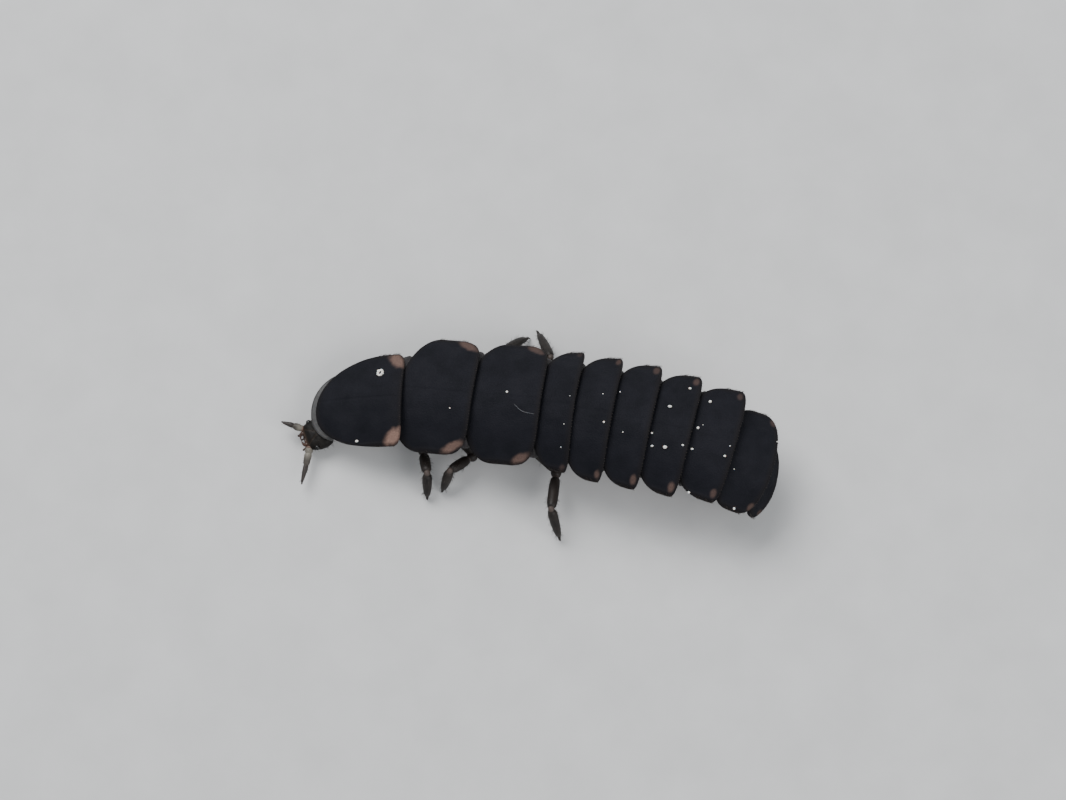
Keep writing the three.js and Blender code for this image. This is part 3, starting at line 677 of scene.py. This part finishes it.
def flesh_rings(places, angles, lifts):
    """Points of the soft body at places along it (rows) and angles round it, raised by the lifts."""
    cosine, sine = np.cos(np.radians(angles)), np.sin(np.radians(angles))
    rings = []
    for place, lift in zip(places, lifts):
        ahead = max(0.0, 1 - place)
        half = along_body(place, "width") / 2 * FLESH_WIDTH * (1 - NECK_TAPER * ahead ** NECK_TAPER_POWER)
        arch = along_body(place, "arch") * FLESH_WIDTH ** ARCH_POWER
        roof = PLATE_STEP + PLATE_THICKNESS + FLESH_GAP + PRONOTUM_DROOP * ahead ** 2
        side = -roof - arch
        floor = along_body(place, "depth") + side
        above = -roof - arch * np.abs(cosine) ** ARCH_POWER
        below = side - floor * np.abs(sine) ** FLESH_POWER
        z = np.where(sine >= 0, above, below)
        y = (half + lift) * cosine
        rings.append(in_frame(body_frame(place), np.zeros_like(z), y, z + lift * sine))
    return np.array(rings)


def skin_point(place, angle, lift):
    return flesh_rings([place], np.array([angle]), [lift])[0][0]


def rounded_box(x, y, half_x, half_y, corner):
    """Signed distance to a box with rounded corners, below zero inside."""
    dx, dy = np.abs(x) - (half_x - corner), np.abs(y) - (half_y - corner)
    return np.hypot(np.maximum(dx, 0), np.maximum(dy, 0)) + np.minimum(np.maximum(dx, dy), 0) - corner


def skin_features(places, angles):
    """Relief, and masks for horny plates, lights and the painted shade on the upper part, over places and
    angles.
    """
    place, angle = np.meshgrid(places, angles, indexing="ij")
    index = np.clip(place.astype(int), 0, TAIL - 1)
    length = np.array([segment.length for segment in SEGMENTS])[index]
    share = place - index
    within = (share - 0.5) * length
    rise = np.sin(np.radians(angle))
    from_belly = np.abs(angle - BELLY_ANGLE)
    low_side = np.where(angle > BELLY_ANGLE, 2 * BELLY_ANGLE - angle, angle)

    belly_half = np.where(index < THORAX, THORAX_BELLY_HALF, ABDOMEN_BELLY_HALF) * DEGREE_MM
    belly = rounded_box(within, from_belly * DEGREE_MM, BELLY_LENGTH * length, belly_half, BELLY_CORNER)
    flank = rounded_box(within, (low_side - FLANK_ANGLE) * DEGREE_MM, FLANK_LENGTH * length,
                        FLANK_HALF * DEGREE_MM, FLANK_CORNER)
    horn = 1 - smoothstep(-HORN_BORDER, HORN_BORDER, np.minimum(belly, flank))

    flat = np.stack((place * 2.2, np.cos(np.radians(angle)) * 2, rise * 2), axis=-1)
    wrinkle = lattice_noise(flat * (1, 0.35, 0.35), 0.09, 8)
    soft = lattice_noise(flat, 0.3, 9)
    fold = hump(length / 2 - np.abs(within), 0, FOLD_WIDTH)
    ridge = RIDGE_HEIGHT * hump(low_side, RIDGE_ANGLE, RIDGE_WIDTH)
    relief = RAISED_PLATE * horn - FOLD_DEPTH * fold + horn * HORN_ROUGHNESS * soft
    relief += (1 - horn) * (ridge + SOFT_ROUGHNESS * (wrinkle + soft))
    overlap = np.maximum(smoothstep(*BRIDGE_REAR, share), 1 - smoothstep(*BRIDGE_FRONT, share))
    relief += BRIDGE_HEIGHT * overlap * smoothstep(0, 0.5, rise)

    light = np.hypot(within / LIGHT_HALF_LENGTH, (from_belly - LIGHT_ANGLE) * DEGREE_MM / LIGHT_HALF_WIDTH)
    glow = (1 - smoothstep(0.8, 1.1, light)) * (index == LIGHT_SEGMENT)
    # Mask of the painted shade: 1 on the upper part of the skin, which lies under the plates.
    upper = smoothstep(-0.6, -0.36, rise + 0.05 * soft)
    return relief, {"horn": horn, "glow": glow, "upper": upper}


def make_skin():
    angles = np.linspace(0, 360, SKIN_SIDES, endpoint=False)
    places = np.linspace(PROTHORAX_START, SKIN_END, SKIN_ROWS)
    relief, masks = skin_features(places, angles)
    swell_in = smoothstep(PROTHORAX_START, PROTHORAX_START + SWELL_REACH, places)[:, None]
    body = flesh_rings(places, angles, relief * swell_in)
    behind_head = from_head(head_ring(NECK_ROOT, SKIN_SIDES))
    neck = []
    for share in np.linspace(0, 1, NECK_ROWS, endpoint=False):
        ring = behind_head + (body[0] - behind_head) * share
        middle = ring.mean(axis=0)
        slim = 1 - 0.2 * sin(pi * share) + 0.03 * sin(share * 26)
        neck.append(middle + (ring - middle) * slim)
    tail_middle = body[-1].mean(axis=0)
    tail_along = body_frame(TAIL)[1]
    cap = [tail_middle + (body[-1] - tail_middle) * shrink + tail_along * out for shrink, out in TAIL_CAP]
    masks["horn"] = masks["horn"] * swell_in
    pad = [(len(neck), len(cap)), (0, 0)]
    attributes = {key: np.pad(field, pad, mode="edge") for key, field in masks.items()}
    nodes = [segment.flesh for segment in SEGMENTS] + ["neck"]
    make_piece("skin", [(np.concatenate((neck, body, cap)), attributes)], SKIN, "belly", *nodes)


# Legs: side, place along the body, elbow, knee, and the foot's place on the floor

LEG_ROWS = (
    ("leg_front_left", -1, 0.86, (-5.26, -0.78, 0.7), (-5.02, -2.1, 1.4), (-5.05, -2.95)),
    ("leg_middle_left", -1, 1.76, (-2.98, -1.15, 0.85), (-4.05, -2.02, 1.5), (-4.45, -2.6)),
    ("leg_hind_left", -1, 2.8, (0.5, -1.85, 1.05), (0.26, -3.75, 1.75), (0.68, -4.76)),
    ("leg_front_right", 1, 0.8, (-6.6, 2.2, 0.75), (-7.1, 2.85, 1.0), (-7.7, 2.9)),
    ("leg_middle_right", 1, 1.76, (-2.9, 2.4, 0.85), (-1.66, 3.36, 1.5), (-0.62, 4.25)),
    ("leg_hind_right", 1, 2.74, (-0.7, 2.1, 1.1), (0.25, 2.95, 1.6), (-0.38, 4.62)),
)
HIP_ANGLE = 52
HIP_DEPTH = 0.18
TROCHANTER = 0.42
ANKLE_SHARE, WRIST_SHARE = 0.62, 0.8
COXA_RADII = (0.4, 0.4, 0.33, 0.25)
TROCHANTER_RADII = (0.2, 0.235, 0.2)
FEMUR_RADII = (0.19, 0.225, 0.235, 0.225, 0.195)
TIBIA_RADII = (0.175, 0.21, 0.21, 0.19, 0.155, 0.11)
CLAW_RADII = (0.085, 0.065, 0.04, 0.012)
ELBOW_SKIN_RADII = (0.18, 0.19, 0.18)
SECOND_SKIN_RADII = (0.16, 0.165, 0.16)
KNEE_SKIN_RADII = (0.14, 0.148, 0.14)
# Bristles: article, number, length, lean
LEG_BRISTLES = ((0, 22, 0.16, 0.8), (2, 46, 0.17, 0.9), (3, 70, 0.16, 1.0))


def article(points, radii, sides, rows, pale=0.0, flatten=1.0):
    """A tube with a pale attribute: even, or (start, end, reach) where it fades in towards the ends."""
    rings = tube(points, radii, sides, rows, flatten)
    if isinstance(pale, tuple):
        start, end, reach = pale
        along = np.linspace(0, 1, rows)[:, None]
        pale = np.maximum(start * (1 - smoothstep(0, reach, along)), end * smoothstep(1 - reach, 1, along))
    return rings, {"pale": np.broadcast_to(pale, rings.shape[:2])}


def leg_articles(side, at, elbow, knee, foot):
    """Coxa, trochanter, femur, tibia and claw, then the soft joints between them."""
    hip = skin_point(at, BELLY_ANGLE + side * (90 - HIP_ANGLE), -HIP_DEPTH)
    elbow, knee, foot = np.array(elbow), np.array(knee), np.array((*foot, 0.0))
    thigh = unit(knee - elbow)
    second = elbow + thigh * TROCHANTER
    ankle = knee + (foot - knee) * ANKLE_SHARE + (0, side * 0.08, 0.06)
    wrist = knee + (foot - knee) * WRIST_SHARE + (0, side * 0.05, 0.02)
    shin = unit(ankle - knee)
    bend = (wrist + foot) / 2 + (0, side * 0.05, 0.03)
    return [
        article((hip, (hip + elbow) / 2, elbow + unit(elbow - hip) * 0.06), COXA_RADII, 28, 26,
                (0.6, 0, 0.12), 0.85),
        article((elbow - thigh * 0.08, elbow + thigh * 0.2, second + thigh * 0.02), TROCHANTER_RADII, 24, 20,
                (0, 0.3, 0.1)),
        article((second - thigh * 0.02, (elbow + knee) / 2 + thigh * 0.1, knee - thigh * 0.02), FEMUR_RADII,
                24, 30, (0.25, 0.5, 0.07), 0.92),
        article((knee + shin * 0.02, (knee + ankle) / 2, ankle, wrist), TIBIA_RADII, 24, 34, (0.5, 0, 0.05)),
        article((wrist - shin * 0.05, bend, foot + (0, 0, CLAW_RADII[-1])), CLAW_RADII, 12, 16),
        article((elbow - thigh * 0.12, elbow, elbow + thigh * 0.1), ELBOW_SKIN_RADII, 16, 10, 0.6),
        article((second - thigh * 0.1, second, second + thigh * 0.1), SECOND_SKIN_RADII, 16, 10, 0.6),
        article((knee - thigh * 0.12, knee, knee + shin * 0.12), KNEE_SKIN_RADII, 16, 12, 0.8),
    ]


def bristle_rings(root, direction, length, radius):
    """A thin curved bristle: a few three-sided rings, thinning to the tip."""
    side = unit(np.cross(direction, (0.3, 0.5, 0.8)))
    over = np.cross(direction, side)
    droop = np.array((0, 0, -0.12 * length))
    rings = []
    for share, thick in ((-0.1, 1), (0.5, 0.7), (1, 0.1)):
        centre = root + direction * length * share + droop * share * share
        rings.append([centre + radius * thick * (cos(a) * side + sin(a) * over)
                      for a in (0, 2.09, 4.19)])
    return np.array(rings), {}


def bristles_on(rings, count, length, lean, radius=0.009, rows=(0.1, 0.95)):
    """Bristles scattered over a loft, leaning along it."""
    made = []
    total_rows, sides = rings.shape[:2]
    for _ in range(count):
        row = int(rng.uniform(*rows) * (total_rows - 2)) + 1
        root = rings[row, rng.randrange(sides)]
        outward = unit(root - rings[row].mean(axis=0))
        along = unit(rings[row].mean(axis=0) - rings[row - 1].mean(axis=0))
        direction = unit(outward + lean * along + 0.25 * np.array([rng.uniform(-1, 1) for _ in range(3)]))
        made.append(bristle_rings(root, direction, length * rng.uniform(0.6, 1.3), radius))
    return made


def make_legs():
    bristles = []
    for name, *places in LEG_ROWS:
        lofts = leg_articles(*places)
        make_piece(name, lofts, LEG, "leg", f"{name}_coxa", f"{name}_femur", f"{name}_tibia")
        for number, count, length, lean in LEG_BRISTLES:
            bristles += bristles_on(lofts[number][0], count, length, lean)
    make_piece("leg_bristles", bristles, BRISTLE, "leg")


# Head, eyes, feelers and mouthparts. The head has its own frame: -X forward, +Z up.

HEAD_CENTRE = np.array((-9.72, -0.2, 0.7))
HEAD_YAW = 20
HEAD_LENGTH = 1.22
HEAD_WIDTH = 1.36
HEAD_HEIGHT = 0.76
HEAD_SQUARENESS = 2.6
# From rear to front: place along, then width, height above and height below, as shares
HEAD_STATIONS = np.array((
    (1, 0.5, 0.45, 0.5), (0.72, 0.86, 0.85, 0.85), (0.3, 1, 1, 1), (-0.2, 1, 0.98, 0.96),
    (-0.62, 0.9, 0.8, 0.8), (-0.88, 0.76, 0.52, 0.5), (-1, 0.6, 0.3, 0.28),
))
HEAD_SIDES, HEAD_ROWS = 120, 90
STEM_WIDTH, FORK_WIDTH, FORK_SPREAD = 0.03, 0.03, 0.62

EYE_RADIUS = 0.12
EYE_PLACE = (-0.25, 0.585, 0.14)
# Each feeler: side, length, splay and bend in degrees, rise
ANTENNAE = (("left", -1, 1.5, 60, -3, -0.05), ("right", 1, 0.88, 38, -2, 0.12))
FEELER_ROOT = (-0.56, 0.43, 0.02)
SOCKET_RADII = (0.2, 0.205, 0.18)
FEELER_BASE_RADII = (0.17, 0.185, 0.175)
FEELER_LONG_RADII = (0.165, 0.165, 0.15, 0.13)
FEELER_LAST_RADII = (0.12, 0.115, 0.085, 0.045)
PEG_RADII, BUTTON_RADII = (0.032, 0.026, 0.015), (0.035, 0.03)
JAW_PATH = ((-0.52, 0.24, 0.0), (-0.67, 0.26, -0.01), (-0.75, 0.22, -0.04), (-0.79, 0.1, -0.06),
            (-0.8, 0.01, -0.07))
JAW_RADII = (0.11, 0.095, 0.07, 0.04, 0.01)
JAW_CROSSING = 0.02
# The lower lip: place along, height and half width of each ring
LIP = ((-0.1, -0.33, 0.2), (-0.2, -0.36, 0.36), (-0.42, -0.36, 0.42), (-0.6, -0.33, 0.34),
       (-0.68, -0.31, 0.15))
LIP_HALF_THICKNESS = 0.085
PALP_PATH = ((-0.56, 0.27), (-0.65, 0.31), (-0.73, 0.33), (-0.79, 0.335), (-0.85, 0.33))
PALP_RADII = (0.105, 0.088, 0.07, 0.05)
LIP_PALP_ARTICLES = 2


def from_head(points):
    turn = radians(HEAD_YAW)
    spin = np.array(((cos(turn), -sin(turn), 0), (sin(turn), cos(turn), 0), (0, 0, 1)))
    return np.asarray(points) @ spin.T + HEAD_CENTRE


def in_head(lofts):
    return [(from_head(rings), attributes) for rings, attributes in lofts]


def head_ring(station, sides):
    x, width, top, bottom = station
    turn = full_turn(sides)
    up = np.where(np.sin(turn) > 0, top, bottom)
    power = 2 / HEAD_SQUARENESS
    return np.stack((
        np.full(sides, x * HEAD_LENGTH / 2),
        signed_power(np.cos(turn), power) * width * HEAD_WIDTH / 2,
        signed_power(np.sin(turn), power) * up * HEAD_HEIGHT / 2,
    ), axis=1)


def head_rings():
    """The head capsule from rear to front, with its forked seam, dents and feeler sockets."""
    order = np.linspace(1, -1, HEAD_ROWS)
    stations = HEAD_STATIONS[::-1]
    smooth = [np.interp(order, stations[:, 0], stations[:, column]) for column in (1, 2, 3)]
    kernel = np.ones(7) / 7
    smooth = [np.convolve(np.pad(field, 3, mode="edge"), kernel, mode="valid") for field in smooth]
    rings = np.array([head_ring((x, *values), HEAD_SIDES) for x, values in zip(order, zip(*smooth))])
    x, y, z = rings[..., 0], np.abs(rings[..., 1]), rings[..., 2]
    top = smoothstep(0.0, 0.1, z)
    stem = hump(y, 0, STEM_WIDTH) * smoothstep(-0.02, 0.12, x)
    fork = hump(y, FORK_SPREAD * np.maximum(0, 0.02 - x), FORK_WIDTH) * smoothstep(0.06, -0.05, x)
    dents = hump(x, -0.22, 0.12) * hump(y, 0.26, 0.1)
    sockets = hump(x, -0.52, 0.1) * hump(y, 0.44, 0.12)
    grain = 0.006 * lattice_noise(rings, 0.12, 60) + 0.003 * lattice_noise(rings, 0.05, 61)
    lift = top * (-0.022 * stem - 0.02 * fork - 0.03 * dents) + 0.03 * sockets + grain
    outward = rings - rings.mean(axis=1, keepdims=True)
    outward /= np.linalg.norm(outward, axis=2, keepdims=True) + 1e-9
    pale = 0.7 * smoothstep(-0.5, -0.62, x) + 0.25 * top * (stem + fork)
    return rings + outward * lift[..., None], np.clip(pale, 0, 1)


def ball(centre, radius, sides=24, rows=14, squash=1.0):
    """Rings of a ball, from just beside one pole to just beside the other."""
    turn = np.linspace(0.02, pi - 0.02, rows)[:, None]
    around = full_turn(sides)
    x = radius * np.sin(turn) * np.cos(around)
    y = radius * np.sin(turn) * np.sin(around) * squash
    z = np.broadcast_to(radius * np.cos(turn), x.shape)
    return np.stack((x, y, z), axis=-1) + np.array(centre)


def on_side(place, side):
    return np.array((place[0], side * place[1], place[2]))


def splayed(side, degrees, rise=0.0):
    """The direction forward and so many degrees outward."""
    turn = radians(degrees)
    return unit(np.array((-cos(turn), side * sin(turn), rise)))


def antenna_articles(side, length, splay, bend, rise):
    """The three articles of a feeler, and the peg and the round organ at its tip."""
    start = on_side(FEELER_ROOT, side)
    inner, outer = splayed(side, splay, rise), splayed(side, splay + bend, rise)
    shoulder = start + inner * length * 0.22
    elbow = start + inner * length * 0.56
    tip = elbow + outer * length * 0.5
    beside = tip + outer * 0.02 + (0, side * 0.05, 0)
    return [
        article((start, (start + shoulder) / 2, shoulder), FEELER_BASE_RADII, 22, 16, (1.0, 0.9, 0.9)),
        article((shoulder - inner * 0.12, (shoulder + elbow) / 2, elbow), FEELER_LONG_RADII, 22, 22,
                (1.0, 0.2, 0.75)),
        article((elbow - outer * 0.1, (elbow + tip) / 2, tip), FEELER_LAST_RADII, 20, 22, (0.35, 0, 0.25)),
        article((tip - outer * 0.03, tip + outer * 0.07), PEG_RADII, 10, 8),
        article((tip - outer * 0.05, beside), BUTTON_RADII, 10, 8, (0.5, 0.5, 0.5)),
    ]


def socket_rings(side, splay):
    """The soft warm-coloured ring that a feeler grows out of."""
    out, root = splayed(side, splay), on_side(FEELER_ROOT, side)
    return tube((root - out * 0.06, root + out * 0.03, root + out * 0.1), SOCKET_RADII, 24, 16), {}


def jaw(side):
    """One sickle jaw. The tips cross, one a little above the other."""
    path = [on_side(place, side) for place in JAW_PATH]
    path[-1][2] -= JAW_CROSSING * side
    return article(path, JAW_RADII, 18, 28, (0.4, 0, 0.35), 0.8)


def lip_ring(x, z, half):
    turn = full_turn(40)
    return np.stack((np.full(40, x), half * np.cos(turn), z + LIP_HALF_THICKNESS * np.sin(turn)), axis=1)


def palp_articles():
    """The lower lip, and on each side the long outer palp and the short inner one."""
    lip = np.array([lip_ring(*row) for row in LIP])
    lofts = [(lip, {"pale": np.full(lip.shape[:2], 0.3)})]
    for side in (-1, 1):
        for number, (near, far, size) in enumerate(zip(PALP_PATH, PALP_PATH[1:], PALP_RADII)):
            start = on_side((*near, -0.34 - 0.03 * number), side)
            end = on_side((far[0] - 0.03, far[1], -0.37 - 0.03 * number), side)
            radii = (size * 0.85, size, size * 0.8)
            lofts.append(article((start, end), radii, 16, 12, (0.9, 0.2, 0.3)))
        for number in range(LIP_PALP_ARTICLES):
            start = on_side((-0.62 - 0.08 * number, 0.1, -0.36 - 0.03 * number), side)
            end = start + (-0.1, 0, -0.02)
            radii = (0.05, 0.055 - 0.015 * number, 0.03)
            lofts.append(article((start, end), radii, 12, 10, (0.8, 0, 0.4)))
    return lofts


def make_head():
    rings, pale = head_rings()
    make_piece("head_capsule", in_head([(rings, {"pale": pale})]), HEAD_DARK_WITH_PAINTED_SHADE, "head", "head")
    bristles = bristles_on(from_head(rings), 60, 0.14, -0.6, 0.008, (0.05, 0.98))
    sockets = []
    for label, side, length, splay, bend, rise in ANTENNAE:
        eye = ball(on_side(EYE_PLACE, side), EYE_RADIUS)
        make_piece(f"eye_lens_{label}", in_head([(eye, {})]), EYE, "eye", f"eye_{label}")
        sockets.append(socket_rings(side, splay))
        lofts = in_head(antenna_articles(side, length, splay, bend, rise))
        make_piece(f"feeler_{label}", lofts, FEELER, "antenna", f"antenna_{label}")
        for feeler_rings, _ in lofts[1:3]:
            bristles += bristles_on(feeler_rings, 14, 0.1, 0.8, 0.007)
        make_piece(f"jaw_{label}", in_head([jaw(side)]), JAW, "mouthparts", f"mandible_{label}")
    make_piece("mouth_palps", in_head(palp_articles()), JAW, "mouthparts", "palps")
    make_piece("antenna_sockets", in_head(sockets), SOCKET, "antenna")
    make_piece("head_bristles", bristles, BRISTLE, "head")


# Tail holdfast: for each ring of fingers their number, reach and height at the root

FINGER_RINGS = ((9, 0.58, 0.3), (6, 0.34, 0.22))
STEM_RADII = (0.4, 0.38, 0.3)
FINGER_RADII = (0.085, 0.09, 0.075, 0.07)


def make_holdfast():
    top = flesh_rings([SKIN_END], np.linspace(0, 360, 40, endpoint=False), [0])[0].mean(axis=0)
    floor = top * (1, 1, 0)
    path = (top + (0, 0, 0.1), (top + floor) / 2 + (0, 0, 0.1), floor + (0, 0, 0.12))
    lofts = [(tube(path, STEM_RADII, 28, 20), {})]
    for ring_number, (count, spread, lift) in enumerate(FINGER_RINGS):
        for finger in range(count):
            turn = (finger + 0.5 * ring_number) / count * 2 * pi + rng.uniform(-0.15, 0.15)
            out = np.array((cos(turn), sin(turn), 0.0))
            reach = spread * rng.uniform(0.85, 1.12)
            root = floor + out * 0.12 + (0, 0, lift)
            bend = floor + out * reach * 0.7 + (0, 0, lift * 0.75)
            tip = floor + out * reach + (0, 0, FINGER_RADII[-1])
            lofts.append((tube((root, bend, tip), FINGER_RADII, 16, 20), {}))
    make_piece("tail_fingers", lofts, HOLDFAST, "holdfast", "holdfast")


# Breathing holes along the flanks

HOLE_SEGMENTS = (1, *range(THORAX, TAIL - 1))
HOLE_ANGLES = (199, 341)
HOLE_PLACE = 0.34
HOLE_LIFT = RAISED_PLATE + 0.01
HOLE_RADIUS, HOLE_RIM_RADIUS = 0.055, 0.022
HOLE_LENGTHENING = 1.3


def make_spiracles():
    lofts = []
    for index in HOLE_SEGMENTS:
        for angle in HOLE_ANGLES:
            root = skin_point(index + HOLE_PLACE, angle, HOLE_LIFT)
            _, along, across, up = body_frame(index + HOLE_PLACE)
            outward = unit(across * cos(radians(angle)) + up * sin(radians(angle)))
            over = unit(np.cross(outward, along))
            loops = []
            for turn in full_turn(20):
                spoke = cos(turn) * along + HOLE_LENGTHENING * sin(turn) * over
                loops.append([root + spoke * (HOLE_RADIUS + HOLE_RIM_RADIUS * cos(a))
                              + outward * HOLE_RIM_RADIUS * sin(a) for a in full_turn(8)])
            loops.append(loops[0])
            lofts.append((np.array(loops), {}))
    make_piece("spiracles", lofts, BRISTLE, "belly", closed=False)


# Short hairs on the back plates, along the sides and the rear edge

HAIR_COLUMNS, HAIR_ROWS = 60, 24
SIDE_HAIRS, REAR_HAIRS = 130, 90


def make_plate_hairs():
    hairs = []
    for index in range(TAIL):
        rings, _ = plate_rings(index, HAIR_COLUMNS, HAIR_ROWS)
        _, along, across, up = plate_frame(index)
        for _ in range(SIDE_HAIRS):
            side = rng.choice((-1, 1))
            place = (HAIR_COLUMNS - 1) * (0.5 + side * 0.5 * (1 - rng.random() ** 2 * 0.1))
            column = int(np.clip(round(place), 1, HAIR_COLUMNS - 2))
            root = rings[column, rng.randrange(3, HAIR_ROWS - 1)]
            direction = unit(across * side * 0.8 + along * 0.9 + up * rng.uniform(-0.1, 0.4))
            hairs.append(bristle_rings(root, direction, rng.uniform(0.06, 0.13), 0.007))
        for _ in range(REAR_HAIRS):
            root = rings[rng.randrange(6, HAIR_COLUMNS - 6), HAIR_ROWS - 2]
            direction = unit(along + across * rng.uniform(-0.3, 0.3) + up * rng.uniform(-0.15, 0.2))
            hairs.append(bristle_rings(root, direction, rng.uniform(0.04, 0.09), 0.006))
    make_piece("plate_hairs", hairs, BRISTLE, "back_plate")


# Pale dust on the back, placed by the photograph's pixels: across, down, width

DUST_PIXELS = (
    (357, 441, 4), (450, 408, 2.6), (507, 392, 3.4), (570, 396, 2), (564, 424, 2), (561, 447, 2),
    (603, 394, 2.6), (604, 422, 2.8), (620, 392, 2.4), (623, 432, 2.6), (670, 407, 4.6), (665, 447, 5),
    (690, 389, 3.2), (652, 433, 3), (652, 446, 3.2), (683, 445, 2.8), (710, 402, 3.4), (698, 428, 3.2),
    (703, 425, 2), (692, 449, 3.4), (730, 446, 2.6), (725, 456, 3), (689, 492, 3), (734, 508, 3.4),
    (734, 469, 2), (777, 442, 2.6),
)
FAINT_GRAIN_PIXELS = 2.6
BRIGHT_GRAIN_SHARE, FAINT_GRAIN_SHARE = 0.85, 0.55
RING_GRAIN_PIXEL = (380.5, 373)
RING_GRAINS = 9
RING_RADIUS, RING_LENGTHENING = 0.115, 1.15
FIBRE_PIXELS = ((514, 404), (522, 411), (534, 414))
FIBRE_RADII = (0.008, 0.014, 0.008)
FIBRE_LIFT = 0.012


def camera_axes():
    tilt = radians(CAMERA_ELEVATION)
    towards = Vector((0, cos(tilt), -sin(tilt)))
    up = Vector((0, sin(tilt), cos(tilt)))
    distance = CAMERA_LENS * PHOTO_WIDTH / PIXELS_PER_MM / SENSOR_WIDTH * MM
    target = Vector(CAMERA_TARGET) * MM
    return target - towards * distance, towards, up, distance


def hit_plates(trees, pixel):
    """Where a pixel's line of sight meets the plates, in millimetres, and the surface's direction."""
    place, towards, up, distance = camera_axes()
    across = (pixel[0] - PHOTO_WIDTH / 2) / PIXELS_PER_MM * MM
    down = (pixel[1] - PHOTO_HEIGHT / 2) / PIXELS_PER_MM * MM
    sight = (towards * distance + towards.cross(up) * across - up * down).normalized()
    hits = [tree.ray_cast(place, sight) for tree in trees]
    hits = [hit for hit in hits if hit[0] is not None]
    if not hits:
        return None
    nearest = min(hits, key=lambda hit: hit[3])
    return np.array(nearest[0]) / MM + MODEL_CENTRE, np.array(nearest[1])


def grain(centre, normal, radius):
    rings = ball((0, 0, 0), radius, 10, 7, rng.uniform(0.7, 1))
    bumps = lattice_noise(rings + rng.uniform(0, 9), radius * 1.1, 70)
    return rings * (1 + 0.28 * bumps[..., None]) + centre + normal * radius * 0.5, {}


def make_dust(plates):
    graph = bpy.context.evaluated_depsgraph_get()
    trees = [BVHTree.FromObject(plate, graph) for plate in plates]
    lofts = []
    for across, down, width in DUST_PIXELS:
        hit = hit_plates(trees, (across, down))
        if hit:
            share = BRIGHT_GRAIN_SHARE if width > FAINT_GRAIN_PIXELS else FAINT_GRAIN_SHARE
            lofts.append(grain(*hit, width / 2 / PIXELS_PER_MM * share))
    centre, normal = hit_plates(trees, RING_GRAIN_PIXEL)
    side = unit(np.cross(normal, (0, 1, 0)))
    over = np.cross(normal, side)
    for number in range(RING_GRAINS):
        turn = number / RING_GRAINS * 2 * pi
        spoke = cos(turn) * side + RING_LENGTHENING * sin(turn) * over
        lofts.append(grain(centre + RING_RADIUS * spoke, normal, rng.uniform(0.05, 0.07)))
    make_piece("dust_grains", lofts, DUST, "rim")
    fibre = [hit_plates(trees, pixel) for pixel in FIBRE_PIXELS]
    strand = tube([place + normal * FIBRE_LIFT for place, normal in fibre], FIBRE_RADII, 8, 24)
    make_piece("dust_fibre", [(strand, {})], FIBRE, "rim")


# Floor, light and camera

FLOOR_HALF = 300
CLIP_START, CLIP_END = 1, 2000
# Name, place, size and watts
LIGHTS = (
    ("key", (-80, 110, 200), 150, 0.8),
    ("fill", (140, -120, 150), 180, 0.4),
)
SKY_COLOUR, SKY_STRENGTH = (0.9, 0.95, 1, 1), 0.6


def make_stage():
    material, tree, shader = new_material("floor")
    set_inputs(tree, shader, {
        "Base Color": blend(tree, noise(tree, 3.0, 3), grey(0.44), grey(0.48)),
        "Roughness": 0.8,
    })
    corners = ((-1, -1), (1, -1), (1, 1), (-1, 1))
    mesh = bpy.data.meshes.new("floor")
    mesh.from_pydata([(x * FLOOR_HALF * MM, y * FLOOR_HALF * MM, 0) for x, y in corners], [], [(0, 1, 2, 3)])
    mesh.materials.append(material)
    add_object("floor", mesh)


def make_light():
    for name, place, size, watts in LIGHTS:
        data = bpy.data.lights.new(name, "AREA")
        data.size = size * MM
        data.energy = watts
        lamp = add_object(name, data)
        lamp.location = Vector(place) * MM
        lamp.rotation_euler = (-lamp.location).to_track_quat("-Z", "Y").to_euler()
    world = bpy.data.worlds.new("studio")
    world.use_nodes = True
    background = world.node_tree.nodes["Background"]
    set_inputs(world.node_tree, background, {"Color": SKY_COLOUR, "Strength": SKY_STRENGTH})
    bpy.context.scene.world = world


def make_camera():
    place, towards, _, _ = camera_axes()
    data = bpy.data.cameras.new("camera")
    data.lens = CAMERA_LENS
    data.sensor_width = SENSOR_WIDTH
    data.clip_start = CLIP_START * MM
    data.clip_end = CLIP_END * MM
    camera = add_object("camera", data)
    camera.location = place
    camera.rotation_euler = towards.to_track_quat("-Z", "Y").to_euler()
    bpy.context.scene.camera = camera


make_camera()
make_stage()
make_light()
back_plates = make_plates()
make_rim()
make_skin()
make_legs()
make_head()
make_holdfast()
make_spiracles()
make_plate_hairs()
make_dust(back_plates)
